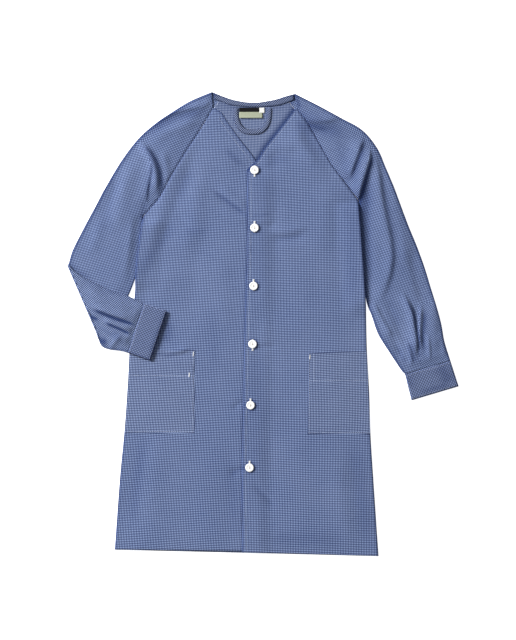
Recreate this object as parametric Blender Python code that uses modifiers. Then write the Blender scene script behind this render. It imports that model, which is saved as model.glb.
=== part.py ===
"""School smock, laid out flat on its back with the left sleeve straight and the right forearm folded over.

The cloth lies in the XY plane with its outside facing +Z, the neck towards +Y and the hem towards -Y.
Left and right are the wearer's: the right side is at -X. Sizes are in millimetres until add_object.
"""
import math
from collections import namedtuple

import bmesh
import bpy

MM = 0.001

# Cloth and seams
CLOTH = 1.2
GAP = 0.3
LAYER = CLOTH + GAP
TUBE = 2.0 * CLOTH + GAP
FOLD_AXIS = TUBE + 0.5 * GAP
FOLD_TOP = 2.0 * FOLD_AXIS
SEAM = 0.5
EDGE = 0.5 * TUBE
INNER_EDGE = 1.2
INNER_SHOULDER = 1.5
ROW_STEP = 30.0

# Front opening: the left front laps over the right one and carries the buttons
LAP_LIFT = LAYER + 0.2
LAP_FLAT = 30.0
LAP_END = 50.0
LAP_TOP_START = 285.0
LAP_TOP_END = 315.0

# Body sides that lie on the sleeves below the armpits
BODY_LIFT = TUBE + 0.5
FRONT_LIFT = 1.08
LIFT_FLAT = 14.0
LIFT_END = 45.0
# Heights at which the lift starts, is full, begins to fall and ends, on either side
RIGHT_LIFT_ROWS = (50.0, 76.0, 165.0, 183.6)
LEFT_LIFT_ROWS = (8.0, 38.0, 195.0, 210.8)

# Neck
NECK_DIP = 10.6
NECK_HALF = 52.7
NECK_CENTRE_X = -15.3
NECK_FADE = 60.0

# Facing, loop and labels inside the back neck
FACING_THICK = 1.0
LOOP_WIDTH = 9.2
LOOP_THICK = 1.5
LOOP_LEFT_X = -46.5
LOOP_RIGHT_X = 10.8
LOOP_TOP_Y = 367.0
LOOP_BOTTOM_Y = 326.0
LOOP_ROUNDNESS = 2.6
LOOP_STEPS = 16
LABEL_THICK = 1.0
LABEL_STEPS = 3

# Buttons: the turned profile runs from the middle of the top out over the rim to the middle of the underside
BUTTON_RADIUS = 7.2
BUTTON_PROFILE = [(0.0, 1.7), (4.4, 1.7), (5.3, 2.4), (6.5, 2.4), (BUTTON_RADIUS, 1.7), (BUTTON_RADIUS, 0.8),
                  (6.2, 0.0), (0.0, 0.0)]
BUTTON_SEAT = 6.0
BUTTON_HOLE_RADIUS = 1.0
BUTTON_HOLE_SPREAD = 1.7
BUTTON_HOLE_SIDES = 8
BUTTON_PIN_LENGTH = 10.0
BUTTON_STEPS = 20
BUTTON_MERGE = 0.01

# Points are (x, y). A seam is listed from the hem up, and seams that meet share their rows.
RIGHT_SIDE = [
    (-252.0, -383.5), (-243.1, -262.0), (-235.9, -186.0), (-230.3, -112.0), (-226.8, -46.0),
    (-218.0, 50.0), (-217.4, 63.0), (-216.7, 76.0), (-213.6, 120.0), (-206.9, 165.0), (-205.0, 174.3),
    (-203.2, 183.6),
]
LEFT_SIDE = [
    (196.3, -394.4), (187.5, -265.0), (182.6, -187.0), (180.5, -119.0), (176.6, -46.0),
    (175.3, 8.0), (174.9, 23.0), (174.5, 38.0), (169.5, 115.0), (163.2, 195.0), (162.4, 203.0),
    (161.5, 210.8),
]
RIGHT_FRONT_RAGLAN = [(-203.2, 183.6), (-175.8, 215.4), (-154.7, 254.2), (-130.9, 294.1), (-105.4, 332.3),
                      (-92.6, 354.4), (-84.5, 368.0)]
LEFT_FRONT_RAGLAN = [(161.5, 210.8), (140.0, 239.5), (116.0, 270.5), (107.1, 286.0), (95.5, 306.2),
                     (75.6, 341.0), (56.6, 366.4)]
RIGHT_BACK_RAGLAN = [(-203.2, 183.6), (-172.0, 225.0), (-143.0, 271.0), (-118.0, 311.0), (-93.5, 351.9),
                     (-68.0, 386.8)]
LEFT_BACK_RAGLAN = [(161.5, 210.8), (138.0, 245.0), (109.0, 283.0), (84.0, 319.0), (64.6, 348.5),
                    (37.4, 386.8)]

# The left front's free edge: placket, then the V of the neck
LEFT_OPENING = [
    (-34.7, -388.1), (-35.9, -263.5), (-35.2, -187.0), (-33.3, -115.6), (-31.7, -46.0),
    (-30.4, 10.0), (-30.0, 25.0), (-29.6, 40.0), (-27.3, 115.0), (-26.7, 195.0), (-26.7, 203.0),
    (-26.6, 212.0), (-26.5, 240.0), (-26.5, 263.5), (-8.2, 280.7), (3.1, 299.9), (33.5, 339.0), (53.0, 364.9),
]
PLACKET_EDGE = LEFT_OPENING[:14]
# The right front's free edge, hidden under the placket up to the V
RIGHT_OPENING = [
    (-10.7, -386.0), (-11.9, -263.5), (-11.2, -187.0), (-9.3, -115.6), (-7.7, -46.0),
    (-5.4, 50.0), (-5.2, 63.0), (-5.0, 76.0), (-3.5, 120.0), (-2.9, 165.0), (-2.8, 174.5), (-2.7, 184.0),
    (-2.5, 220.0), (-2.5, 261.8), (-26.5, 297.7), (-54.0, 334.2), (-70.2, 358.7), (-80.8, 366.0),
]

# Sleeve sections: front seam, shoulder fold and back seam; rise lifts a section off what lies under it.
# Below the armpit the front and back seams are one underarm fold.
Section = namedtuple("Section", "front outer back rise")
LEFT_SLEEVE = [
    Section((56.6, 366.4), (54.4, 391.3), (37.4, 386.8), 0.0),
    Section((75.6, 341.0), (95.2, 370.6), (64.6, 348.5), 0.0),
    Section((95.5, 306.2), (132.6, 350.2), (84.0, 319.0), 0.0),
    Section((116.0, 270.5), (168.3, 329.8), (109.0, 283.0), 0.0),
    Section((140.0, 239.5), (203.0, 284.0), (138.0, 245.0), 0.0),
    Section((161.5, 210.8), (222.7, 232.9), None, 0.0),
    Section((163.2, 195.0), (232.0, 205.0), None, 0.0),
    Section((159.0, 158.0), (246.0, 170.0), None, 0.0),
    Section((163.0, 112.0), (260.0, 136.0), None, 0.0),
    Section((170.0, 72.0), (274.0, 98.0), None, 0.0),
    Section((175.3, 37.0), (285.0, 62.0), None, 0.0),
    Section((187.5, 8.0), (295.0, 30.0), None, 0.0),
    Section((195.5, -17.0), (303.0, 0.0), None, 0.0),
    Section((215.0, -49.0), (308.0, -30.0), None, 0.0),
    Section((240.4, -84.8), (318.4, -62.2), None, 0.0),
]
LEFT_CUFF = [
    Section((241.0, -85.3), (318.6, -62.8), None, 0.0),
    Section((246.0, -107.0), (325.5, -84.0), None, 0.0),
    Section((252.1, -129.9), (332.7, -105.9), None, 0.0),
]
RIGHT_UPPER_SLEEVE = [
    Section((-84.5, 368.0), (-86.7, 394.4), (-68.0, 386.8), 0.0),
    Section((-105.4, 332.3), (-124.0, 378.5), (-93.5, 351.9), 0.0),
    Section((-130.9, 294.1), (-167.0, 352.5), (-118.0, 311.0), 0.0),
    Section((-154.7, 254.2), (-206.0, 318.0), (-143.0, 271.0), 0.0),
    Section((-175.8, 215.4), (-242.0, 275.0), (-172.0, 225.0), 0.0),
    Section((-203.2, 183.6), (-272.0, 224.4), None, 0.0),
    Section((-206.9, 165.0), (-283.0, 203.0), None, 0.0),
    Section((-201.0, 140.0), (-294.0, 182.0), None, 0.0),
    Section((-204.8, 112.0), (-304.3, 163.2), None, 0.0),
    Section((-216.8, 76.0), (-314.0, 144.0), None, 0.0),
    Section((-236.3, 34.0), (-323.0, 126.0), None, 0.0),
    Section((-259.0, 4.0), (-328.5, 112.0), None, 0.0),
]
CREASE = Section((-278.1, -20.3), (-330.6, 101.4), None, 0.0)
RIGHT_FOREARM = [
    Section((-278.5, -28.0), (-323.0, 93.5), None, 0.1),
    Section((-273.0, -38.0), (-306.0, 80.0), None, 0.4),
    Section((-261.1, -43.0), (-286.6, 70.2), None, 0.8),
    Section((-249.0, -44.7), (-257.2, 56.6), None, 1.2),
    Section((-238.0, -46.4), (-231.9, 48.8), None, 1.5),
    Section((-230.0, -48.8), (-202.6, 35.2), None, 1.7),
]
RIGHT_CUFF = [
    Section((-229.5, -49.1), (-202.1, 35.0), None, 1.7),
    Section((-210.0, -56.0), (-181.5, 27.6), None, 1.7),
    Section((-190.9, -62.4), (-162.7, 21.4), None, 1.7),
]

# Largest soft folds: a ridge of the given height and half width along a line
Ridge = namedtuple("Ridge", "start end half_width height")
BODY_RIDGES = [
    Ridge((-118.0, 300.0), (-150.0, 205.0), 20.0, 2.2),
    Ridge((-150.0, 205.0), (-165.0, 150.0), 20.0, 1.8),
    Ridge((-95.0, 225.0), (-55.0, 175.0), 18.0, 1.2),
    Ridge((66.0, 150.0), (60.0, 20.0), 22.0, 1.4),
    Ridge((104.0, 250.0), (88.0, 180.0), 20.0, 1.5),
    Ridge((66.0, -225.0), (72.0, -370.0), 24.0, 1.6),
    Ridge((-95.0, -225.0), (-105.0, -360.0), 24.0, 1.4),
    Ridge((-190.0, -240.0), (-215.0, -350.0), 18.0, 1.2),
    Ridge((150.0, -240.0), (158.0, -370.0), 18.0, 1.2),
]
LEFT_SLEEVE_RIDGES = [
    Ridge((100.0, 345.0), (150.0, 318.0), 14.0, 1.2),
    Ridge((190.0, 250.0), (205.0, 150.0), 20.0, 2.6),
    Ridge((205.0, 150.0), (232.0, 60.0), 22.0, 2.8),
    Ridge((232.0, 60.0), (268.0, -40.0), 16.0, 2.4),
    Ridge((262.0, 90.0), (284.0, 30.0), 12.0, 1.6),
    Ridge((284.0, 30.0), (300.0, -35.0), 10.0, 1.8),
]
RIGHT_SLEEVE_RIDGES = [
    Ridge((-150.0, 330.0), (-196.0, 290.0), 14.0, 1.4),
    Ridge((-190.0, 268.0), (-208.0, 215.0), 14.0, 2.6),
    Ridge((-240.0, 235.0), (-262.0, 180.0), 18.0, 2.2),
]
FOREARM_RIDGES = [
    Ridge((-296.0, 45.0), (-244.0, 20.0), 14.0, 2.4),
    Ridge((-282.0, 12.0), (-244.0, -8.0), 13.0, 2.2),
]
# A ridge has died out at this many half widths from its line
RIDGE_REACH = 1.6
SECTION_FADE = 26.0
CREASE_STEPS = 4
# Share by which a section put between two others is drawn out from the chord to keep the fold's bend
BEND_SHARE = 0.125

# Pockets, corner points in order from the side seam's top corner round to its bottom corner
Pocket = namedtuple("Pocket", "top_side top_free bottom_free bottom_side")
POCKETS = {
    "pocket_right": Pocket((-226.2, -45.0), (-115.9, -45.0), (-115.9, -185.3), (-235.3, -185.3)),
    "pocket_left": Pocket((176.1, -46.0), (77.9, -50.1), (76.2, -187.0), (182.1, -187.0)),
}
POCKET_ROWS = 6
POCKET_COLUMNS = 5

# Rows of the facing: neck edge and lower edge, from the right sleeve to the left one
FACING_ROWS = [
    ((-82.5, 391.4), (-83.3, 380.4)), ((-68.0, 385.8), (-69.7, 377.6)), ((-45.9, 379.6), (-53.4, 371.6)),
    ((-17.0, 375.6), (-15.3, 368.3)), ((13.6, 379.6), (24.8, 371.0)), ((37.4, 385.8), (41.0, 376.0)),
    ((52.0, 389.6), (53.0, 380.2)),
]

# Labels hang from the facing: left, right, top and bottom edges, and how far the free edge curls up
Label = namedtuple("Label", "left right top bottom curl")
LABELS = {
    "label_main": Label(-40.5, -6.6, 367.2, 360.4, 0.0),
    "label_size": Label(-6.2, 2.0, 367.2, 358.8, 0.0),
    "label_care": Label(-40.1, -6.6, 360.0, 350.0, 1.0),
}

BUTTONS = [(-14.4, 261.3), (-14.4, 163.2), (-16.1, 64.6), (-17.8, -34.0), (-21.2, -137.7), (-22.9, -243.6)]

# Columns across a panel: a share of its width plus a distance, which shrinks where the panel is narrow
Column = namedtuple("Column", "share distance")
BACK_COLUMNS = [
    Column(0.0, 0.0), Column(0.0, 8.0), Column(0.0, 18.0), Column(0.0, 32.0), Column(0.17, 0.0),
    Column(0.28, 0.0), Column(0.39, 0.0), Column(0.5, 0.0), Column(0.61, 0.0), Column(0.72, 0.0),
    Column(0.83, 0.0), Column(1.0, -32.0), Column(1.0, -18.0), Column(1.0, -8.0), Column(1.0, 0.0),
]
FRONT_COLUMNS = [
    Column(0.0, 0.0), Column(0.0, 12.0), Column(0.0, 22.0), Column(0.0, LAP_FLAT), Column(0.0, 40.0),
    Column(0.0, LAP_END), Column(0.42, 0.0), Column(0.56, 0.0), Column(0.7, 0.0), Column(1.0, -32.0),
    Column(1.0, -18.0), Column(1.0, -8.0), Column(1.0, 0.0),
]
BACK_FULL_WIDTH = 300.0
FRONT_FULL_WIDTH = 150.0
SLEEVE_SHARES = [0.16, 0.33, 0.5, 0.67, 0.84]

# Colours, as they look on screen
CLOTH_BLUE = (0.42, 0.48, 0.63)
FACING_BLUE = (0.45, 0.51, 0.66)
LABEL_BLACK = (0.08, 0.08, 0.09)
LABEL_WHITE = (0.90, 0.90, 0.88)
LABEL_CREAM = (0.80, 0.83, 0.76)
BUTTON_WHITE = (0.93, 0.93, 0.92)


def clear_scene():
    for scene_object in list(bpy.data.objects):
        bpy.data.objects.remove(scene_object, do_unlink=True)


def mix(a, b, t):
    return tuple(p + (q - p) * t for p, q in zip(a, b))


def smooth(t):
    t = min(max(t, 0.0), 1.0)
    return t * t * (3.0 - 2.0 * t)


def distance(a, b):
    return math.hypot(b[0] - a[0], b[1] - a[1])


def edge_x(edge, y):
    """The x of a side seam at height y."""
    for low, high in zip(edge, edge[1:]):
        if y <= high[1] or high is edge[-1]:
            return low[0] + (high[0] - low[0]) * (y - low[1]) / (high[1] - low[1])
    return edge[-1][0]


def ridge_height(x, y, ridges):
    """Height of the soft folds at a point, each one a bell across its line."""
    height = 0.0
    for ridge in ridges:
        along_x = ridge.end[0] - ridge.start[0]
        along_y = ridge.end[1] - ridge.start[1]
        length = math.hypot(along_x, along_y)
        t = ((x - ridge.start[0]) * along_x + (y - ridge.start[1]) * along_y) / length ** 2
        t = min(max(t, 0.0), 1.0)
        away = math.hypot(x - ridge.start[0] - along_x * t, y - ridge.start[1] - along_y * t)
        height = max(height, ridge.height * (1.0 - smooth(away / (RIDGE_REACH * ridge.half_width))))
    return height


def within_rows(y, rows):
    """1 between the two middle heights, fading to 0 at the outer ones."""
    start, full, fall, end = rows
    return smooth((y - start) / (full - start)) * smooth((end - y) / (end - fall))


def side_lift(x, y):
    """How far the body rises where a sleeve's underarm fold lies under its side seam."""
    right_rows = within_rows(y, RIGHT_LIFT_ROWS)
    left_rows = within_rows(y, LEFT_LIFT_ROWS)
    right_away = x - edge_x(RIGHT_SIDE, y)
    left_away = edge_x(LEFT_SIDE, y) - x
    right = right_rows * (1.0 - smooth((right_away - LIFT_FLAT) / (LIFT_END - LIFT_FLAT)))
    left = left_rows * (1.0 - smooth((left_away - LIFT_FLAT) / (LIFT_END - LIFT_FLAT)))
    return BODY_LIFT * max(right, left)


def back_height(x, y):
    return side_lift(x, y)


def right_front_height(x, y):
    return LAYER + FRONT_LIFT * side_lift(x, y) + ridge_height(x, y, BODY_RIDGES)


def left_front_height(x, y):
    """The left front climbs over the right one along the placket."""
    from_edge = x - edge_x(PLACKET_EDGE, min(y, PLACKET_EDGE[-1][1]))
    lap = 1.0 - smooth((from_edge - LAP_FLAT) / (LAP_END - LAP_FLAT))
    lap *= 1.0 - smooth((y - LAP_TOP_START) / (LAP_TOP_END - LAP_TOP_START))
    return right_front_height(x, y) + LAP_LIFT * lap


def subdivided(rows):
    """Straight rows (start, end) with more of them between rows that lie far apart."""
    result = [rows[0]]
    for row, following in zip(rows, rows[1:]):
        longest = max(distance(row[0], following[0]), distance(row[1], following[1]))
        count = max(1, round(longest / ROW_STEP))
        for step in range(1, count + 1):
            t = step / count
            result.append((mix(row[0], following[0], t), mix(row[1], following[1], t)))
    return result


def across(row, column, full_width):
    """The share of a row at which a column crosses it."""
    width = distance(row[0], row[1])
    shrink = min(1.0, width / full_width)
    return column.share + column.distance * shrink / width


def neck_dip(x, y):
    """The back neck's curve, fading out in the rows below it."""
    share = (x - NECK_CENTRE_X) / NECK_HALF
    return NECK_DIP * max(0.0, 1.0 - share * share) * smooth(1.0 - (LEFT_BACK_RAGLAN[-1][1] - y) / NECK_FADE)


def add_object(name, bm, colour, roughness=0.9):
    """Turn a mesh in millimetres into an object in metres with its own material."""
    bmesh.ops.recalc_face_normals(bm, faces=bm.faces)
    bmesh.ops.scale(bm, vec=(MM, MM, MM), verts=bm.verts)
    mesh = bpy.data.meshes.new(name)
    bm.to_mesh(mesh)
    bm.free()
    return place_object(name, mesh, colour, roughness)


def place_object(name, mesh, colour, roughness):
    material = bpy.data.materials.new(name)
    material.use_nodes = True
    shader = material.node_tree.nodes["Principled BSDF"]
    linear = [((c + 0.055) / 1.055) ** 2.4 for c in colour]
    shader.inputs["Base Color"].default_value = (linear[0], linear[1], linear[2], 1.0)
    shader.inputs["Roughness"].default_value = roughness
    if not mesh.materials:
        mesh.materials.append(material)
    made = bpy.data.objects.new(name, mesh)
    SMOCK.objects.link(made)
    return made


def sheet_between(grid, thickness):
    """A cloth wall: a grid of underside points, closed by the same grid moved up by the thickness."""
    bm = bmesh.new()
    rows = [[bm.verts.new(point) for point in row] for row in grid]
    faces = []
    for row, following in zip(rows, rows[1:]):
        for column in range(len(row) - 1):
            corners = (row[column], row[column + 1], following[column + 1], following[column])
            faces.append(bm.faces.new(corners))
    raised = bmesh.ops.extrude_face_region(bm, geom=faces)
    upper = [item for item in raised["geom"] if isinstance(item, bmesh.types.BMVert)]
    bmesh.ops.translate(bm, verts=upper, vec=(0.0, 0.0, thickness))
    return bm


def panel(name, start_edge, end_edge, columns, full_width, height, dip=None):
    """A flat-cut panel between two edges, laid at the height that the function gives."""
    grid = []
    for row in subdivided(list(zip(start_edge, end_edge))):
        points = []
        for column in columns:
            x, y = mix(row[0], row[1], across(row, column, full_width))
            sunk = y - dip(x, y) if dip else y
            points.append((x, sunk, height(x, y)))
        grid.append(points)
    return add_object(name, sheet_between(grid, CLOTH), CLOTH_BLUE)


def section_points(section, top_ridges, bottom_ridges, fade):
    """Outer and inner points round one sleeve section, from the front seam over the fold to the back seam."""
    closed = section.back is None
    back = section.front if closed else section.back
    outer_ring = []
    inner_ring = []

    def add(seam, share, inset, z_outer, z_inner, inner_inset):
        width = distance(seam, section.outer)
        outer_ring.append((*mix(seam, section.outer, share + inset / width), z_outer))
        inner_ring.append((*mix(seam, section.outer, share + inner_inset / width), z_inner))

    def top(share, inset=0.0, inner_inset=0.0):
        x, y = mix(section.front, section.outer, share)
        bulge = fade * ridge_height(x, y, top_ridges)
        add(section.front, share, inset, TUBE + bulge, LAYER + bulge, inner_inset)

    def bottom(share, inset=0.0, inner_inset=0.0):
        x, y = mix(back, section.outer, share)
        bulge = fade * ridge_height(x, y, bottom_ridges)
        add(back, share, inset, -bulge, CLOTH - bulge, inner_inset)

    if closed:
        add(section.front, 0.0, 0.0, EDGE, EDGE, INNER_EDGE)
    else:
        add(section.front, 0.0, 0.0, TUBE, LAYER, 0.0)
    add(section.front, 0.0, EDGE, TUBE, LAYER, INNER_SHOULDER)
    for share in SLEEVE_SHARES:
        top(share)
    add(section.front, 1.0, -EDGE, TUBE, LAYER, -INNER_SHOULDER)
    add(section.front, 1.0, 0.0, EDGE, EDGE, -INNER_EDGE)
    add(back, 1.0, -EDGE, 0.0, CLOTH, -INNER_SHOULDER)
    for share in reversed(SLEEVE_SHARES):
        bottom(share)
    add(back, 0.0, EDGE, 0.0, CLOTH, INNER_SHOULDER)
    if not closed:
        add(back, 0.0, 0.0, 0.0, CLOTH, 0.0)
    return outer_ring, inner_ring


def turned_over(ring, rise):
    """A section of the folded forearm: what was underneath is on top."""
    return [(x, y, FOLD_TOP - z + rise) for x, y, z in ring]


def round_the_crease(ring, angle):
    """A section on its way round the crease, as an arc about the crease's axis."""
    along_x = CREASE.outer[0] - CREASE.front[0]
    along_y = CREASE.outer[1] - CREASE.front[1]
    length = math.hypot(along_x, along_y)
    out_x = -along_y / length
    out_y = along_x / length
    points = []
    for x, y, z in ring:
        radius = FOLD_AXIS - z
        reach = radius * math.sin(angle)
        points.append((x + out_x * reach, y + out_y * reach, FOLD_AXIS - radius * math.cos(angle)))
    return points


def tube(name, rings):
    """A sleeve or cuff: outer and inner rings lofted. Rings with one point more are open at the seams."""
    bm = bmesh.new()
    walls = [tuple([bm.verts.new(point) for point in ring] for ring in pair) for pair in rings]
    steps = min(len(outer) for outer, inner in walls)

    def face(near, far, next_near, next_far, column, next_column):
        bm.faces.new((near[column % len(near)], next_near[next_column % len(next_near)],
                      next_far[next_column % len(next_far)], far[column % len(far)]))

    for (outer, inner), (next_outer, next_inner) in zip(walls, walls[1:]):
        for column in range(steps):
            face(outer, next_outer, outer, next_outer, column, column + 1)
            face(inner, next_inner, inner, next_inner, column, column + 1)
        if len(outer) > steps:
            face(outer, next_outer, inner, next_inner, 0, 0)
            face(outer, next_outer, inner, next_inner, steps, steps)
    for outer, inner in (walls[0], walls[-1]):
        for column in range(steps):
            face(outer, inner, outer, inner, column, column + 1)
    return add_object(name, bm, CLOTH_BLUE)


def shifted(sections, shift):
    """Sleeve sections with their seams moved off the body by the seam gap."""
    result = []
    for section in sections:
        front = (section.front[0] + shift, section.front[1])
        back = None if section.back is None else (section.back[0] + shift, section.back[1])
        result.append(Section(front, section.outer, back, section.rise))
    return result


def end_fade(sections, index):
    """Folds die out towards the ends of a run of sections."""
    to_start = sum(distance(a.outer, b.outer) for a, b in zip(sections[:index], sections[1:index + 1]))
    to_end = sum(distance(a.outer, b.outer) for a, b in zip(sections[index:], sections[index + 1:]))
    return smooth(to_start / SECTION_FADE) * smooth(to_end / SECTION_FADE)


def between_sections(sections):
    """Sections with one more halfway where two lie far apart, the fold bending smoothly through it."""
    result = [sections[0]]
    for index, (a, b) in enumerate(zip(sections, sections[1:])):
        both_open = a.back is not None and b.back is not None
        both_closed = a.back is None and b.back is None
        if distance(a.outer, b.outer) > ROW_STEP and (both_open or both_closed):
            before = sections[max(index - 1, 0)].outer
            after = sections[min(index + 2, len(sections) - 1)].outer
            bent = mix(mix(a.outer, b.outer, 0.5), mix(before, after, 0.5), -BEND_SHARE)
            back = mix(a.back, b.back, 0.5) if both_open else None
            result.append(Section(mix(a.front, b.front, 0.5), bent, back, 0.5 * (a.rise + b.rise)))
        result.append(b)
    return result


def sleeve_left():
    sections = between_sections(shifted(LEFT_SLEEVE, SEAM))
    rings = []
    for index, section in enumerate(sections):
        fade = end_fade(sections, index)
        rings.append(section_points(section, LEFT_SLEEVE_RIDGES, [], fade))
    return tube("sleeve_left", rings)


def sleeve_right():
    upper = between_sections(shifted(RIGHT_UPPER_SLEEVE, -SEAM))
    rings = []
    for index, section in enumerate(upper):
        rings.append(section_points(section, RIGHT_SLEEVE_RIDGES, [], end_fade(upper, index)))
    crease_outer, crease_inner = section_points(CREASE, [], [], 0.0)
    for step in range(CREASE_STEPS + 1):
        angle = math.pi * step / CREASE_STEPS
        rings.append((round_the_crease(crease_outer, angle), round_the_crease(crease_inner, angle)))
    for index, section in enumerate(RIGHT_FOREARM):
        outer, inner = section_points(section, [], FOREARM_RIDGES, end_fade(RIGHT_FOREARM, index))
        rings.append((turned_over(outer, section.rise), turned_over(inner, section.rise)))
    return tube("sleeve_right", rings)


def cuffs():
    tube("cuff_left", [section_points(section, [], [], 0.0) for section in LEFT_CUFF])
    rings = []
    for section in RIGHT_CUFF:
        outer, inner = section_points(section, [], [], 0.0)
        rings.append((turned_over(outer, section.rise), turned_over(inner, section.rise)))
    tube("cuff_right", rings)


def pocket(name, corners):
    """A patch pocket on the front: its points are the front's, moved out by a layer."""
    height = left_front_height if name.endswith("left") else right_front_height
    grid = []
    for row in range(POCKET_ROWS + 1):
        side = mix(corners.bottom_side, corners.top_side, row / POCKET_ROWS)
        free = mix(corners.bottom_free, corners.top_free, row / POCKET_ROWS)
        points = []
        for column in range(POCKET_COLUMNS + 1):
            x, y = mix(side, free, column / POCKET_COLUMNS)
            points.append((x, y, height(x, y) + LAYER))
        grid.append(points)
    add_object(name, sheet_between(grid, CLOTH), CLOTH_BLUE)


def neck_facing():
    grid = []
    for upper, lower in FACING_ROWS:
        grid.append([(*upper, LAYER), (*mix(upper, lower, 0.5), LAYER), (*lower, LAYER)])
    add_object("neck_facing", sheet_between(grid, FACING_THICK), FACING_BLUE)


def hanging_loop():
    """A bias strip bent into a U, its legs ending under the facing."""
    centre_x = 0.5 * (LOOP_LEFT_X + LOOP_RIGHT_X)
    reach_x = 0.5 * (LOOP_RIGHT_X - LOOP_LEFT_X)
    reach_y = LOOP_TOP_Y - LOOP_BOTTOM_Y
    grid = []
    for step in range(LOOP_STEPS + 1):
        angle = math.pi * step / LOOP_STEPS
        points = []
        for side in (-0.5, 0.5):
            across_x = reach_x + side * LOOP_WIDTH
            across_y = reach_y + side * LOOP_WIDTH
            power = 2.0 / LOOP_ROUNDNESS
            x = centre_x - math.copysign(abs(math.cos(angle)) ** power, math.cos(angle)) * across_x
            y = LOOP_TOP_Y - max(0.0, math.sin(angle)) ** power * across_y
            points.append((x, y, LAYER))
        grid.append(points)
    add_object("hanging_loop", sheet_between(grid, LOOP_THICK), FACING_BLUE)


def labels():
    colours = {"label_main": LABEL_BLACK, "label_size": LABEL_WHITE, "label_care": LABEL_CREAM}
    for name, label in LABELS.items():
        grid = []
        for step in range(LABEL_STEPS + 1):
            t = step / LABEL_STEPS
            y = label.top + (label.bottom - label.top) * t
            z = LAYER + label.curl * t * t
            grid.append([(label.left, y, z), (label.right, y, z)])
        add_object(name, sheet_between(grid, LABEL_THICK), colours[name], 0.7)


def button_mesh():
    """The profile of a button, for the screw modifier to turn about its axis."""
    bm = bmesh.new()
    points = [bm.verts.new((x * MM, 0.0, z * MM)) for x, z in BUTTON_PROFILE]
    for a, b in zip(points, points[1:]):
        bm.edges.new((a, b))
    mesh = bpy.data.meshes.new("button")
    bm.to_mesh(mesh)
    bm.free()
    return mesh


def hole_mesh():
    """Two upright pins that cut a button's sewing holes."""
    bm = bmesh.new()
    for side in (-1.0, 1.0):
        radius = BUTTON_HOLE_RADIUS * MM
        made = bmesh.ops.create_cone(bm, cap_ends=True, segments=BUTTON_HOLE_SIDES, radius1=radius,
                                     radius2=radius, depth=BUTTON_PIN_LENGTH * MM)
        bmesh.ops.translate(bm, verts=made["verts"], vec=(0.0, side * BUTTON_HOLE_SPREAD * MM, 0.0))
    mesh = bpy.data.meshes.new("button_holes")
    bm.to_mesh(mesh)
    bm.free()
    return mesh


def buttons():
    holes = hole_mesh()
    for number, (x, y) in enumerate(BUTTONS, start=1):
        name = f"button_{number}"
        seat = (-BUTTON_SEAT, 0.0, BUTTON_SEAT)
        z = max(left_front_height(x + dx, y + dy) for dx in seat for dy in seat)
        made = place_object(name, button_mesh(), BUTTON_WHITE, 0.35)
        made.location = (x * MM, y * MM, (z + LAYER) * MM)
        turn = made.modifiers.new("turn", "SCREW")
        turn.steps = BUTTON_STEPS
        turn.render_steps = BUTTON_STEPS
        turn.use_merge_vertices = True
        turn.merge_threshold = BUTTON_MERGE * MM
        pins = bpy.data.objects.new(f"{name}_holes", holes)
        pins.location = made.location
        pins.hide_render = True
        pins.display_type = "WIRE"
        CUTTERS.objects.link(pins)
        cut = made.modifiers.new("holes", "BOOLEAN")
        cut.operation = "DIFFERENCE"
        cut.object = pins


clear_scene()
SMOCK = bpy.data.collections.new("school_smock")
CUTTERS = bpy.data.collections.new("cutters")
bpy.context.scene.collection.children.link(SMOCK)
bpy.context.scene.collection.children.link(CUTTERS)

panel("back", RIGHT_SIDE + RIGHT_BACK_RAGLAN[1:], LEFT_SIDE + LEFT_BACK_RAGLAN[1:], BACK_COLUMNS,
      BACK_FULL_WIDTH, back_height, neck_dip)
panel("front_right", RIGHT_OPENING, RIGHT_SIDE + RIGHT_FRONT_RAGLAN[1:], FRONT_COLUMNS, FRONT_FULL_WIDTH,
      right_front_height)
panel("front_left", LEFT_OPENING, LEFT_SIDE + LEFT_FRONT_RAGLAN[1:], FRONT_COLUMNS, FRONT_FULL_WIDTH,
      left_front_height)
sleeve_left()
sleeve_right()
cuffs()
for pocket_name, pocket_corners in POCKETS.items():
    pocket(pocket_name, pocket_corners)
neck_facing()
hanging_loop()
labels()
buttons()
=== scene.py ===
"""A child's school smock in fine blue and white gingham, laid out flat on its back.

The cloth is built in millimetres in the frame's axes: +X to the wearer's left, +Y to the neck, +Z up.
"""
import math
from collections import namedtuple

import bmesh
import bpy
import numpy as np
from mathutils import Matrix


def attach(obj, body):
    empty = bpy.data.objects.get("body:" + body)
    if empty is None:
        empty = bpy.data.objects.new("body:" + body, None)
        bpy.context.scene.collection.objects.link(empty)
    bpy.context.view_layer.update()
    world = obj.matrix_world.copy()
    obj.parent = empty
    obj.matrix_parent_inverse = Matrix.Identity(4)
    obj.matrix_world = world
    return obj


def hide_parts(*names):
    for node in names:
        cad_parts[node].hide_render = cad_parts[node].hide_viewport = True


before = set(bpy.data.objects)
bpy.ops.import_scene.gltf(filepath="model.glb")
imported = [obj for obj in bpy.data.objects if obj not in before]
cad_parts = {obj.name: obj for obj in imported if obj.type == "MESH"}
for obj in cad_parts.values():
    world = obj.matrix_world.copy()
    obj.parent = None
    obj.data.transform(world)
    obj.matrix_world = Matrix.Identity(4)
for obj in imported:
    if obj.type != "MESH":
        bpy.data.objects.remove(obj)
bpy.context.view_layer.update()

# Millimetres to metres, and the photograph's scale
MM = 0.001
MM_PER_PIXEL = 1.7
PHOTO_ORIGIN = (263.0, 324.0)

# Walls, levels over the surface that the smock lies on, and cells, in millimetres
CLOTH = 0.9
BACK_CLOTH = 1.1
FOLDED_CLOTH = 0.7
LOOP_CLOTH = 0.5
LABEL_CLOTH = 0.45
BACK_TOP = 1.2
FRONT_TOP = 2.7
TUBE_MID = 1.35
FOLD_AXIS = 2.85
CELL = 2.8
BACK_CELL = 3.8
SLEEVE_CELL = 2.1
FOLD_RADIUS = 3.2

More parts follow.
